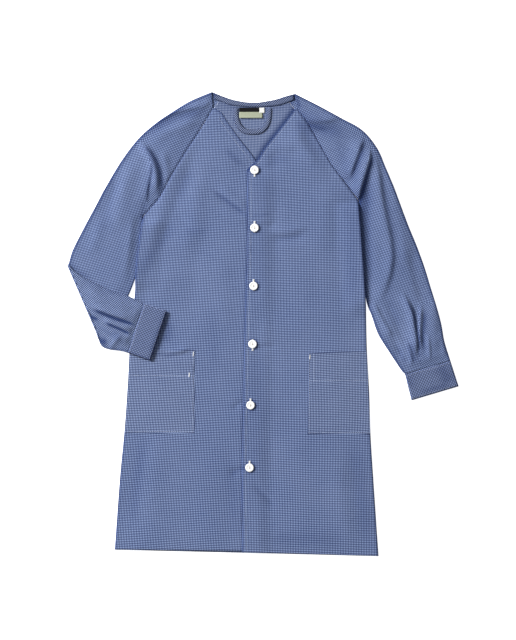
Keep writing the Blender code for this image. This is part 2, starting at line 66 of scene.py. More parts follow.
# Gingham: one blue and white repeat, across and along the cloth
CHECK_ACROSS = 2.60
CHECK_ALONG = 2.83

# The left front laps over the right one
LAP_LIFT = 1.7
LAP_FLAT = 26.0
LAP_END = 52.0
LAP_TOP_START = 285.0
LAP_TOP_END = 318.0
PLACKET_WAVE = 0.12
PLACKET_WAVE_REACH = 17.0
PLACKET_WAVE_FADE = 12.0

# The body's sides lie on the sleeves below the armpits
BODY_LIFT = 3.2
FRONT_LIFT = 1.08
LIFT_FLAT = 14.0
LIFT_END = 45.0
# Heights between which the sides lift and roll and the sleeves are held down, and each one's reach
RIGHT_LIFT_ROWS = (50.0, 26.0, 183.6, 18.6)
LEFT_LIFT_ROWS = (8.0, 30.0, 210.8, 15.8)
RIGHT_ROLL_ROWS = (40.0, 40.0, 190.0, 40.0)
LEFT_ROLL_ROWS = (20.0, 40.0, 214.0, 25.0)
RIGHT_HELD_ROWS = (64.0, 12.0, 188.0, 10.0)
LEFT_HELD_ROWS = (25.0, 12.0, 215.0, 10.0)
SIDE_SEAM_TOP = 210.0
FAR = 1e3
SIDE_ROLL = 1.6
SIDE_ROLL_WIDTH = 13.0

# The body's soft height, and what holds it down: the seams, the hem, the neck and the cuff that lies on it
PUFF = 1.6
PUFF_REACH = 70.0
NECK_REACH = 36.0
NECK_DROP = 0.55
NECK_DROP_WIDTH = 7.0
SEAM_PUFF = 25.0
HEM_PUFF = 30.0
HEM_Y = -390.0
UNDER_CUFF = (-195.0, -10.0)
UNDER_CUFF_HALF = (70.0, 75.0)
SEAM_DITCH = 0.75
SEAM_DITCH_WIDTH = 2.2
SIDE_DITCH = 0.35
SIDE_DITCH_WIDTH = 2.5
FRONT_LOWEST = FRONT_TOP - SEAM_DITCH
PUCKER = 0.16
PUCKER_WAVE = 2.6
PUCKER_REACH = 7.0

# The sleeves' soft height
SLEEVE_PUFF = 2.0
SLEEVE_PUFF_REACH = 30.0
SLEEVE_PUCKER = 0.14
SLEEVE_BOTTOM = 0.12
SLEEVE_LOWEST = FRONT_TOP - 0.5
RING_CELLS = 50
NECK_END_REACH = 12.0
CUFF_END_REACH = 16.0
ELBOW_END_REACH = 95.0
FOREARM_PUFF = 1.6
FOREARM_PUFF_REACH = 24.0
FOREARM_LOWEST = 0.6

# Stitches: their length, the gap after each, below zero where they overlap, and their radius
EDGE_STITCH = (2.3, 0.9, 0.3)
POCKET_STITCH = (2.3, 0.9, 0.32)
CUFF_STITCH = (2.2, 1.6, 0.3)
RAGLAN_STITCH = (2.6, 2.5, 0.55)
BARTACK_STITCH = (1.2, -0.7, 0.75)
BUTTONHOLE_STITCH = (1.2, -0.6, 0.65)
BUTTON_STITCH = (1.1, -0.6, 0.34)
# How high they lie, and how far in from their edges
RAGLAN_STITCH_LIFT = 0.1
V_STITCH_LIFT = 0.3
POCKET_STITCH_LIFT = 0.2
LEFT_V_INSET = 5.4
RIGHT_V_INSET = 8.5
PLACKET_INSET = 6.4


def on_photo(*pixels):
    """Points of the photograph as millimetres in the frame's axes."""
    return [((x - PHOTO_ORIGIN[0]) * MM_PER_PIXEL, (PHOTO_ORIGIN[1] - y) * MM_PER_PIXEL) for x, y in pixels]


# Seams and edges, in millimetres, each from the hem or the armpit up
RIGHT_SIDE = [(-252.0, -383.5), (-243.1, -262.0), (-235.9, -186.0), (-230.3, -112.0), (-226.8, -46.0),
              (-218.0, 50.0), (-216.7, 76.0), (-213.6, 120.0), (-206.9, 165.0), (-203.2, 183.6)]
LEFT_SIDE = [(196.3, -394.4), (187.5, -265.0), (182.6, -187.0), (180.5, -119.0), (176.6, -46.0),
             (175.3, 8.0), (174.5, 38.0), (169.5, 115.0), (163.2, 195.0), (161.5, 210.8)]
RIGHT_FRONT_RAGLAN = [(-203.2, 183.6), (-175.8, 215.4), (-154.7, 254.2), (-130.9, 294.1), (-105.4, 332.3),
                      (-92.6, 354.4), (-84.5, 368.0)]
LEFT_FRONT_RAGLAN = [(161.5, 210.8), (140.0, 239.5), (116.0, 270.5), (95.5, 306.2), (75.6, 341.0),
                      (56.6, 366.4)]
RIGHT_BACK_RAGLAN = [(-203.2, 183.6), (-172.0, 225.0), (-143.0, 271.0), (-118.0, 311.0), (-93.5, 351.9),
                     (-68.0, 386.8)]
LEFT_BACK_RAGLAN = [(161.5, 210.8), (138.0, 245.0), (109.0, 283.0), (84.0, 319.0), (64.6, 348.5),
                     (37.4, 386.8)]
PLACKET_EDGE = [(-34.7, -388.1), (-35.9, -263.5), (-35.2, -187.0), (-33.3, -115.6), (-31.7, -46.0),
                (-29.6, 40.0), (-27.3, 115.0), (-26.7, 195.0), (-26.5, 263.5)]
LEFT_V = [(-26.5, 263.5), (-8.2, 280.7), (3.1, 299.9), (33.5, 339.0), (53.0, 364.9)]
UNDERLAP_EDGE = [(-10.7, -386.0), (-11.9, -263.5), (-11.2, -187.0), (-9.3, -115.6), (-7.7, -46.0),
                 (-5.4, 50.0), (-3.5, 120.0), (-2.7, 184.0), (-2.5, 261.8)]
RIGHT_V = [(-2.5, 261.8), (-19.6, 289.0), (-40.3, 315.0), (-62.0, 345.4), (-70.2, 358.7), (-80.8, 366.0)]
FACING_TOP_EDGE = [(-82.5, 391.6), (-68.0, 385.8), (-45.9, 379.7), (-17.0, 375.7), (13.6, 379.7),
                   (37.4, 385.8), (52.0, 389.8)]
FACING_LOW_EDGE = [(-83.0, 380.4), (-69.7, 377.6), (-53.4, 371.6), (-15.3, 368.3), (24.8, 371.0),
                   (41.0, 376.0), (53.0, 380.2)]
BACK_NECK_DIP = 10.6
BACK_NECK_CENTRE = -15.3
BACK_NECK_HALF = 52.7
BACK_NECK_TOP = 386.8
BACK_NECK_FADE = 60.0

# Sleeve outlines: front seam, shoulder fold and back seam above the armpit, underarm fold below it
LEFT_SHOULDER = [(54.4, 391.3), (95.2, 370.6), (132.6, 350.2), (168.3, 329.8), (193.8, 299.2), (209.0, 265.0),
                 (222.7, 232.9)]
LEFT_OUTER = [(222.7, 232.9), (246.0, 170.0), (260.0, 136.0), (274.0, 98.0), (285.0, 62.0), (295.0, 30.0),
              (303.0, 0.0), (308.5, -30.0), (318.4, -62.2)]
LEFT_UNDERARM = [(162.0, 210.8), (160.5, 180.0), (160.0, 158.0), (163.5, 112.0), (170.5, 72.0), (176.0, 37.0),
                 (184.5, 14.0), (195.5, -17.0), (214.0, -47.0), (234.6, -78.0), (240.9, -84.8)]
RIGHT_SHOULDER = [(-86.7, 394.4), (-124.0, 378.5), (-156.0, 359.0), (-183.6, 340.0), (-212.5, 314.0),
                  (-242.0, 275.0), (-272.0, 224.4)]
RIGHT_OUTER = [(-272.0, 224.4), (-283.0, 203.0), (-304.3, 163.2), (-323.0, 126.0), (-330.6, 101.4)]
RIGHT_UNDERARM = [(-203.7, 183.6), (-204.5, 150.0), (-206.5, 112.0), (-217.3, 76.0), (-236.3, 34.0),
                  (-278.1, -20.3)]
FOREARM_TOP = [(-330.6, 101.4), (-322.0, 91.5), (-306.0, 80.0), (-286.6, 70.2), (-257.2, 56.6),
               (-231.9, 48.8), (-202.6, 35.2)]
FOREARM_BOTTOM = [(-278.1, -20.3), (-277.5, -31.0), (-271.5, -39.5), (-259.0, -43.6), (-247.5, -44.9),
                  (-238.0, -46.4), (-230.0, -48.8)]
LEFT_NECK_END = ((54.4, 391.3), (56.6, 366.4))
RIGHT_NECK_END = ((-86.7, 394.4), (-84.5, 368.0))
ELBOW_CREASE = (RIGHT_UNDERARM[-1], RIGHT_OUTER[-1])
ELBOW_STEPS = 10
FOREARM_RISE = 1.7
# The sleeves begin this far beside the raglan seams, and points nearer than this are joined
SEAM = 0.4
JOINED = 0.01

CUFF_LEFT = ((240.9, -84.8), (318.4, -62.2), (252.1, -129.9), (332.5, -105.9))
CUFF_RIGHT = ((-230.0, -48.8), (-202.6, 35.2), (-190.9, -62.4), (-162.7, 21.4))

# Creases: a path, half widths to its left and right in millimetres, and a height, below zero for a trough
Crease = namedtuple("Crease", "path left right height")


def creases(*rows):
    """Creases from rows of points on the photograph, then the two half widths and the height."""
    return [Crease(on_photo(*row[:-3]), *row[-3:]) for row in rows]


BODY_CREASES = creases(
    ((196, 130), (184, 152), (170, 180), (160, 212), (149, 248), 13, 11, 1.5),
    ((199, 148), (188, 172), (179, 196), (171, 222), (160, 250), 13, 9, -0.9),
    ((206, 170), (198, 195), (194, 225), (182, 256), 16, 14, 1.3),
    ((176, 214), (187, 224), (199, 231), 4, 7, -0.9),
    ((215, 193), (231, 206), (247, 216), 4, 8, -1.4),
    ((219, 187), (234, 199), (247, 208), 8, 5, 1.3),
    ((222, 208), (233, 216), (246, 220), 5, 6, 0.6),
    ((271, 239), (288, 238), (306, 235), 5, 9, -1.2),
    ((268, 232), (288, 231), (308, 227), 7, 6, 0.9),
    ((258, 226), (276, 225), 4, 7, -0.9),
    ((302, 126), (314, 143), (326, 160), (338, 180), 9, 11, -1.2),
    ((294, 130), (304, 148), (316, 166), 9, 9, 1.0),
    ((266, 162), (284, 153), (302, 156), 8, 14, -1.1),
    ((276, 200), (273, 230), (276, 265), 14, 18, -0.7),
    ((322, 180), (326, 215), (318, 262), 18, 18, 0.6),
    ((338, 212), (333, 262), (337, 320), 14, 18, -0.3),
    ((298, 262), (303, 305), (297, 340), 18, 20, 0.6),
    ((228, 236), (222, 280), (226, 340), 16, 18, 0.6),
    ((207, 228), (196, 265), (190, 335), 13, 18, -0.6),
    ((168, 262), (160, 300), (162, 334), 15, 14, 0.7),
    ((150, 262), (145, 290), (146, 318), 8, 10, -0.9),
    ((232, 410), (238, 404), (246, 400), 4, 7, -1.0),
    ((229, 475), (236, 470), (246, 468), 5, 7, -1.2),
    ((252, 482), (264, 494), (277, 508), 5, 9, -1.2),
    ((258, 347), (268, 346), (277, 347), 3, 6, -0.8),
    ((262, 300), (259, 350), (262, 410), 9, 13, -0.6),
    ((300, 400), (303, 445), (303, 500), (304, 556), 19, 22, 0.5),
    ((351, 440), (356, 500), (366, 556), 10, 16, -0.6),
    ((338, 450), (343, 505), (349, 556), 13, 14, 0.5),
    ((272, 420), (269, 480), (271, 552), 14, 16, -0.4),
    ((143, 434), (136, 470), (129, 520), 13, 16, -0.8),
    ((160, 436), (154, 480), (149, 548), 16, 16, 0.4),
    ((208, 436), (206, 495), (209, 551), 20, 20, 0.4),
    ((231, 440), (230, 500), (229, 551), 12, 12, -0.6),
    ((166, 352), (177, 352), (190, 348), 6, 4, 1.4),
    ((165, 357), (176, 355), (190, 353), 3, 5, -1.1),
)
LEFT_SLEEVE_CREASES = creases(
    ((286, 118), (302, 120), (320, 121), (342, 118), 10, 5, 2.4),
    ((300, 131), (318, 131), (336, 130), 4, 8, -1.0),
    ((363, 137), (358, 151), (352, 168), (348, 180), 4.0, 13, 3.4),
    ((370, 148), (369, 159), (364, 177), (360, 191), (357, 205), 2.0, 15, 5.2),
    ((376, 160), (370, 178), (367, 200), (369, 240), (372, 290), 10, 7, -1.8),
    ((372, 142), (377, 168), (382, 205), (391, 250), (389, 274), (378, 305), 5.0, 12, 2.9),
    ((386, 160), (396, 205), (404, 240), (405, 272), 13, 9, 1.7),
    ((410, 250), (417, 282), (424, 306), 9, 7, -1.3),
    ((372, 300), (382, 320), (395, 341), 3.5, 8, 2.4),
    ((386, 300), (396, 322), (404, 344), 7, 7, -1.2),
    ((402, 292), (411, 310), (414, 328), (416, 344), (415, 358), 2.4, 10, 4.4),
    ((421, 304), (420, 320), (419.5, 334), (421, 350), 2.4, 3, 3.0),
    ((433, 296), (434, 325), (437, 352), 10, 12, 2.2),
    ((388, 330), (397, 345), (401, 360), 5, 7, -1.5),
    ((406, 340), (410, 352), (412, 366), 2, 4, 1.6),
    ((428, 334), (429, 348), (430, 360), 2, 4, 1.6),
    ((440, 330), (443, 344), (445, 358), 3, 5, 1.2),
)
RIGHT_SLEEVE_CREASES = creases(
    ((146, 124), (175, 112), (211, 104), 9, 5, 2.6),
    ((150, 139), (178, 128), (203, 120), 9, 9, 1.4),
    ((136, 140), (145, 148), (152.5, 160), (156.5, 177), (156, 196), 5.5, 8, 4.3),
    ((149, 160), (150.5, 171), (147.5, 189), (146, 205), 1.8, 12, 1.5),
    ((162, 150), (167, 168), (166, 186), 6, 5, 1.2),
    ((142, 198), (137, 222), (133, 250), (130, 276), 5.0, 15, 1.2),
    ((131, 160), (124, 195), (117, 232), 15, 13, 1.6),
    ((118, 172), (108, 205), (98, 240), 12, 14, -1.6),
    ((104, 215), (96, 240), (88, 258), 10, 9, 1.2),
    ((71, 256), (76, 266), (83, 275), 5, 8, -1.2),
)
FOREARM_CREASES = creases(
    ((84, 304), (97, 309), (112, 314.5), (124, 318), (134, 322), 9, 2.0, 3.6),
    ((92, 311), (104, 316), (116, 320.5), (134, 326), 1.8, 3.0, -2.6),
    ((104, 320), (117, 325), (132, 331), 6, 2.0, 2.8),
    ((106, 325), (118, 330), (131, 336), 1.8, 3.0, -2.0),
    ((84, 311), (91, 314), (100, 318), 4, 1.8, 2.6),
    ((112, 336), (120, 338), (129, 340), 5, 6, 1.2),
    ((95, 334), (99, 338), (104, 342), 5, 5, -2.2),
    ((110, 349), (116, 341), (122, 334), 4, 5, 1.6),
    ((96, 285), (118, 297), (140, 306), 8, 10, -1.2),
    ((82, 289), (104, 299), (132, 311), 9, 9, 1.2),
)

# Painted shade where the cloth lies in a fold's depth, with a share of full shade in place of a height
BODY_SHADES = creases(
    ((225, 148), (233, 157), (243, 167), 6, 6, 0.30),
    ((212, 190), (226, 200), (238, 209), (249, 217), 2.8, 4, 0.52),
    ((193, 124), (187, 142), (178, 163), 4.5, 4.5, 0.26),
    ((190, 168), (185, 182), (178, 200), 8, 8, 0.22),
    ((177, 219), (166, 236), (150, 258), (138, 280), 9, 10, 0.22),
    ((184, 230), (194, 232), (207, 230), 5, 8, 0.18),
    ((294, 124), (308, 127), (326, 131), 12, 9, 0.34),
    ((300, 124), (310, 138), (322, 156), 9, 12, 0.16),
    ((262, 169), (276, 160), (292, 159), 7, 9, 0.20),
    ((262, 168), (264, 190), (266, 216), 18, 14, 0.14),
    ((262, 222), (261, 250), (262, 290), 16, 14, 0.10),
    ((250, 216), (262, 215), (274, 213), 3, 4, 0.22),
    ((272, 240), (288, 238), (306, 235), 5, 5, 0.20),
    ((258, 340), (256, 400), (256, 480), 16, 14, 0.13),
    ((231, 455), (234, 495), (236, 540), 9, 11, 0.18),
    ((253, 484), (263, 495), (276, 508), 4, 5, 0.20),
    ((230, 476), (238, 470), (246, 468), 3, 4, 0.25),
    ((144, 432), (141, 460), (136, 495), (133, 526), 9, 9, 0.24),
    ((352, 438), (358, 480), (364, 520), (368, 552), 16, 12, 0.26),
    ((256, 540), (300, 538), (352, 542), 12, 12, 0.16),
    ((352, 176), (352, 220), (350, 270), (352, 320), 16, 18, 0.20),
    ((330, 146), (340, 160), (352, 184), 9, 12, 0.16),
    ((162, 320), (168, 330), (164, 344), 9, 7, 0.35),
    ((149, 352), (168, 355), (180, 352), 2.5, 3, 0.30),
    ((212, 300), (214, 340), (216, 380), 10, 12, 0.08),
)
LEFT_SLEEVE_SHADES = creases(
    ((292, 106), (304, 119), (322, 127), (348, 133), 14, 16, 0.46),
    ((302, 125), (314, 126.5), (328, 130), 4, 5, 0.30),
    ((294, 95), (297, 101), (300, 109), 4, 4, 0.60),
    ((335, 140), (342, 155), (350, 186), 10, 10, 0.22),
    ((364.5, 138), (360.5, 152), (354.5, 168), (350, 180), 4.5, 2.8, 0.75),
    ((371.5, 150), (370.5, 160), (365.5, 177), (361.5, 191), (358, 205), 5.0, 0.9, 1.0),
    ((370, 172), (366, 192), (363, 212), (363, 250), (366, 294), 14, 15, 0.62),
    ((376, 152), (381, 178), (386, 206), (393, 245), (391, 276), (381, 305), 5, 3, 0.30),
    ((404, 299), (412, 312), (415.5, 328), (418, 343), (417.5, 360), 3.6, 1.4, 0.85),
    ((424.5, 308), (423, 325), (422, 337), (423, 354), 4.5, 1.4, 0.75),
    ((408, 342), (412, 353), (414, 364), 6, 5, 0.50),
    ((386, 296), (394, 312), (400, 330), 7, 7, 0.20),
    ((366, 146), (361, 162), (355, 180), (352, 196), 4, 4, 0.20),
    ((396, 345), (402, 356), (406, 364), 4, 4, 0.30),
    ((372, 170), (392, 230), (410, 300), 40, 40, 0.09),
)
RIGHT_SLEEVE_SHADES = creases(
    ((210, 110), (194, 113.5), (171, 119), (147, 136), 8, 9, 0.42),
    ((211, 95), (213, 101), (215, 109), 3, 3, 0.80),
    ((143, 144), (152, 153), (158.5, 165), (162, 181), (160, 197), 2.4, 6, 0.75),
    ((152.5, 161), (151.6, 175), (148.8, 190), (147.5, 205), 1.4, 4, 0.60),
    ((146, 196), (142, 222), (138, 250), (134, 282), 3.5, 5, 0.34),
    ((119, 175), (109, 206), (99, 240), 10, 10, 0.14),
    ((66, 262), (78, 272), (92, 280), 6, 8, 0.30),
)
FOREARM_SHADES = creases(
    ((93, 309.5), (104, 313.5), (113.5, 317.5), (124, 321), (136, 325), 2.2, 2.8, 2.0),
    ((105, 322.5), (118, 328), (132, 334.5), 1.9, 2.3, 1.5),
    ((84, 312), (90, 316), (99, 320), 2.4, 2.8, 1.6),
    ((95, 337), (101, 341), (108, 342), 6, 6, 1.0),
    ((112, 330), (119, 337), (124, 344), 5, 5, 0.25),
    ((78, 276), (104, 288), (136, 301), 8, 8, 0.16),
    ((96, 327), (108, 332), (122, 342), 4, 4, 0.25),
)
CUFF_SHADES = creases(
    ((404, 370), (408, 378), (412, 388), 7, 7, 0.30),
    ((440, 364), (445, 374), (450, 384), 12, 12, 0.42),
    ((418, 392), (434, 388), (450, 383), 3, 4, 0.30),
    ((150, 356), (158, 336), (166, 314), 4, 4, 0.35),
)

# Dark lines of painted shade along seams and edges: a shade, a width and the pitch of a seam's puckers
SEAM_LINE = (0.75, 2.0, 5.1)
EDGE_SHADE = 1.0
EDGE_SHADE_WIDTH = 2.6
# Painted shade at the sleeves' edges where they turn under: an outer one's width where it isn't usual, an
# inner one's width, and their shades
LEFT_EDGE_WIDTH = 3.4
LIT_EDGE_WIDTH = 4.2
LEFT_INNER_SHADE = 0.9
RIGHT_INNER_SHADE = 0.5
FOREARM_INNER_SHADE = 0.5
FOREARM_OUTER_SHADE = 0.2
# Painted shade on the right front beside the placket, on the cloth round the buttons and on the cloth round
# the elbow
LAP_SHADE = 0.5
LAP_SHADE_WIDTH = 2.2
LAP_SHADE_TOP = 262.0
BUTTON_SHADE = 0.6
BUTTON_SHADE_REACH = 12.0
BUTTON_SHADE_FADE = 3.6
ELBOW_SHADE = 0.6
# Each panel's lines of painted shade: a seam or an edge, its shade and, where given, its width and its
# puckers' pitch
BACK_LINES = [(LEFT_V, 0.9, 6.0), (FACING_LOW_EDGE, 0.28, 9.0)]
RIGHT_FRONT_LINES = [(RIGHT_V, 0.6), (RIGHT_SIDE, 0.9), (RIGHT_FRONT_RAGLAN, *SEAM_LINE)]
LEFT_FRONT_LINES = [(LEFT_V, 1.0, 3.0), (LEFT_SIDE, 0.8), (LEFT_FRONT_RAGLAN, *SEAM_LINE),
                    (PLACKET_EDGE, 0.85, 1.8)]


# Curves and fields


def smooth(t):
    t = np.clip(t, 0.0, 1.0)
    return t * t * (3.0 - 2.0 * t)


def bell(distance, width):
    """1 at no distance, falling off softly on both sides."""
    return np.exp(-(distance / width) ** 2)


def rows_between(y, low, rise, high, fall):
    """1 between two heights and 0 beyond them, easing in over one reach and out over another."""
    return smooth((y - low) / rise) * smooth((high - y) / fall)


def curve_through(points, count):
    """Evenly spaced points on a smooth curve through the given ones."""
    p = np.asarray(points, float)
    ends = np.vstack([2 * p[0] - p[1], p, 2 * p[-1] - p[-2]])
    dense = []
    steps = 12
    for i in range(len(p) - 1):
        a, b, c, d = ends[i:i + 4]
        for t in np.arange(steps) / steps:
            dense.append(0.5 * (2 * b + (c - a) * t + (2 * a - 5 * b + 4 * c - d) * t ** 2
                                + (3 * b - a - 3 * c + d) * t ** 3))
    dense.append(p[-1])
    dense = np.array(dense)
    travelled = np.concatenate([[0.0], np.cumsum(np.linalg.norm(np.diff(dense, axis=0), axis=1))])
    wanted = np.linspace(0.0, travelled[-1], count + 1)
    return np.column_stack([np.interp(wanted, travelled, dense[:, k]) for k in range(p.shape[1])])


def curve_length(points):
    return float(np.linalg.norm(np.diff(np.asarray(points, float), axis=0), axis=1).sum())


def offset_from(path, x, y):
    """Signed distance to a path, positive to its left, and where along it the nearest point lies, 0 to 1."""
    best = np.full(x.shape, 1e9)
    side = np.zeros(x.shape)
    along = np.zeros(x.shape)
    total = curve_length(path)
    travelled = 0.0
    for (ax, ay), (bx, by) in zip(path, path[1:]):
        length = math.hypot(bx - ax, by - ay)
        ux, uy = (bx - ax) / length, (by - ay) / length
        t = np.clip((x - ax) * ux + (y - ay) * uy, 0.0, length)
        gap = np.hypot(x - ax - ux * t, y - ay - uy * t)
        nearer = gap < best
        best = np.where(nearer, gap, best)
        side = np.where(nearer, np.sign(ux * (y - ay) - uy * (x - ax)), side)
        along = np.where(nearer, (travelled + t) / total, along)
        travelled += length
    return best * side, along


def distance_to(path, x, y):
    return np.abs(offset_from(path, x, y)[0])


def crease_height(creases, x, y):
    """The sum of all creases at points, each a bell across its path that fades out at both ends."""
    height = np.zeros(x.shape)
    for crease in creases:
        path = curve_through(crease.path, 10) if len(crease.path) > 2 else np.asarray(crease.path)
        offset, along = offset_from(path, x, y)
        ends = smooth(np.minimum(along, 1.0 - along) / 0.3 + 0.15)
        height += crease.height * bell(offset, np.where(offset > 0, crease.left, crease.right)) * ends
    return height


# Painted shade in the depth of folds, as a share of full shade
def painted_shade(shades, x, y):
    return np.clip(crease_height(shades, x, y), 0.0, 1.0)


def line_shade(line, x, y, strength, width=EDGE_SHADE_WIDTH, pitch=0.0):
    """Painted shade in a dark line at a seam or an edge, broken into puckers where it has a pitch."""
    away, along = offset_from(line, x, y)
    shade = strength * bell(away, width)
    if pitch:
        shade = shade * (0.62 + 0.38 * np.sin(along * curve_length(line) * 2.0 * math.pi / pitch))
    return shade


def panel_shade(points, lines, folds=()):
    """A panel's painted shade: in the depth of its folds and in the dark lines at its seams and edges."""
    x, y = points[..., 0], points[..., 1]
    shade = painted_shade(folds, x, y)
    for line, *look in lines:
        shade = shade + line_shade(line, x, y, *look)
    return shade


def rumple(x, y, size, height, seed):
    """Low soft waves that cross each other."""
    random = np.random.RandomState(seed)
    waves = np.zeros(x.shape)
    count = 7
    for _ in range(count):
        angle = random.uniform(0.0, math.pi)
        pitch = size * random.uniform(0.7, 1.5)
        phase = random.uniform(0.0, 2.0 * math.pi)
        bend = 0.35 * np.sin((x * math.sin(angle) - y * math.cos(angle)) / pitch * 2.1 + phase)
        waves += np.sin((x * math.cos(angle) + y * math.sin(angle)) / pitch * 2.0 * math.pi + phase + bend)
    return height * waves / math.sqrt(count)


def edge_x(edge, y):
    heights = [point[1] for point in edge]
    return np.interp(y, heights, [point[0] for point in edge])


def side_away(x, y):
    """Distances inward from the right and from the left side seam."""
    return x - edge_x(RIGHT_SIDE, y), edge_x(LEFT_SIDE, y) - x


def side_lift(x, y):
    """How far the body rises where a sleeve's underarm fold lies under its side seam."""
    lifts = [rows_between(y, *rows) * (1.0 - smooth((away - LIFT_FLAT) / (LIFT_END - LIFT_FLAT)))
             for rows, away in zip((RIGHT_LIFT_ROWS, LEFT_LIFT_ROWS), side_away(x, y))]
    return BODY_LIFT * np.maximum(*lifts)


def seam_away(x, y):
    """Distances to the nearest front raglan seam and to the nearest side seam."""
    raglan = np.minimum(distance_to(RIGHT_FRONT_RAGLAN, x, y), distance_to(LEFT_FRONT_RAGLAN, x, y))
    right, left = side_away(x, y)
    return raglan, np.where(y < SIDE_SEAM_TOP, np.minimum(np.abs(right), np.abs(left)), FAR)


def side_roll(x, y):
    """Below the armpits the side seams roll up a little more than the sleeves beneath need."""
    right, left = (rows_between(y, *rows) * bell(away, SIDE_ROLL_WIDTH)
                   for rows, away in zip((RIGHT_ROLL_ROWS, LEFT_ROLL_ROWS), side_away(x, y)))
    return SIDE_ROLL * (0.5 * right + left)


def right_front_top(x, y):
    """Top of the right front: pressed flat at its edges, softly puffed and creased between them."""
    raglan, side = seam_away(x, y)
    edge = np.minimum(np.minimum(side, raglan + SEAM_PUFF), np.abs(y - HEM_Y) + HEM_PUFF)
    neck = np.minimum(distance_to(RIGHT_V, x, y), distance_to(LEFT_V, x, y))
    puff = PUFF * smooth(edge / PUFF_REACH) * smooth(neck / NECK_REACH)
    puff = puff - NECK_DROP * bell(neck, NECK_DROP_WIDTH)
    under_cuff = np.hypot((x - UNDER_CUFF[0]) / UNDER_CUFF_HALF[0], (y - UNDER_CUFF[1]) / UNDER_CUFF_HALF[1])
    folds = crease_height(BODY_CREASES, x, y) * smooth(side / 14.0 + 0.15) * smooth(under_cuff - 0.2)
    folds = folds + rumple(x, y, 90.0, 0.16, 3) + rumple(x, y, 34.0, 0.05, 8)
    ditch = SEAM_DITCH * bell(raglan, SEAM_DITCH_WIDTH) + SIDE_DITCH * bell(side, SIDE_DITCH_WIDTH)
    pucker = PUCKER * np.sin(y / PUCKER_WAVE) * np.exp(-raglan / PUCKER_REACH)
    flat = FRONT_TOP + puff * smooth(under_cuff - 0.35) + folds - ditch + pucker
    return np.maximum(flat, FRONT_LOWEST) + FRONT_LIFT * side_lift(x, y) + side_roll(x, y)


def left_front_top(x, y):
    """The left front climbs over the right one along the placket."""
    from_edge = x - edge_x(PLACKET_EDGE, y)
    lap = 1.0 - smooth((from_edge - LAP_FLAT) / (LAP_END - LAP_FLAT))
    lap = lap * (1.0 - smooth((y - LAP_TOP_START) / (LAP_TOP_END - LAP_TOP_START)))
    waves = PLACKET_WAVE * np.sin(y / PLACKET_WAVE_REACH) * np.exp(-np.abs(from_edge) / PLACKET_WAVE_FADE)
    return right_front_top(x, y) + LAP_LIFT * lap + waves


def back_top(x, y):
    return BACK_TOP + side_lift(x, y) + side_roll(x, y) + np.minimum(rumple(x, y, 70.0, 0.06, 5), 0.1)


def pocket_top(front_top, pocket):
    """A patch pocket lies on its front, with a fold round its edge and a soft line under its hem."""
    def top(x, y):
        edge = np.minimum(np.abs(x - pocket.free), np.abs(y - pocket.free_bottom[1]))
        level = POCKET_LEVEL + rumple(x, y, 40.0, 0.05, 12)
        hem = POCKET_MOUTH * bell(y - pocket.mouth, 5.0) - POCKET_DITCH * bell(y - pocket.stitch, 1.6)
        return front_top(x, y) + level + hem - POCKET_PRESS * bell(edge, 3.0)
    return top


# Material nodes


class Sum:
    """A shader socket that takes part in ordinary arithmetic."""

    def __init__(self, graph, socket):
        self.graph = graph
        self.socket = socket

    def _with(self, operation, other, swapped=False):
        pair = (other, self) if swapped else (self, other)
        return self.graph.math(operation, *pair)

    def __add__(self, other):
        return self._with("ADD", other)

    def __radd__(self, other):
        return self._with("ADD", other, True)

    def __sub__(self, other):
        return self._with("SUBTRACT", other)

    def __rsub__(self, other):
        return self._with("SUBTRACT", other, True)

    def __mul__(self, other):
        return self._with("MULTIPLY", other)

    def __rmul__(self, other):
        return self._with("MULTIPLY", other, True)

    def __truediv__(self, other):
        return self._with("DIVIDE", other)


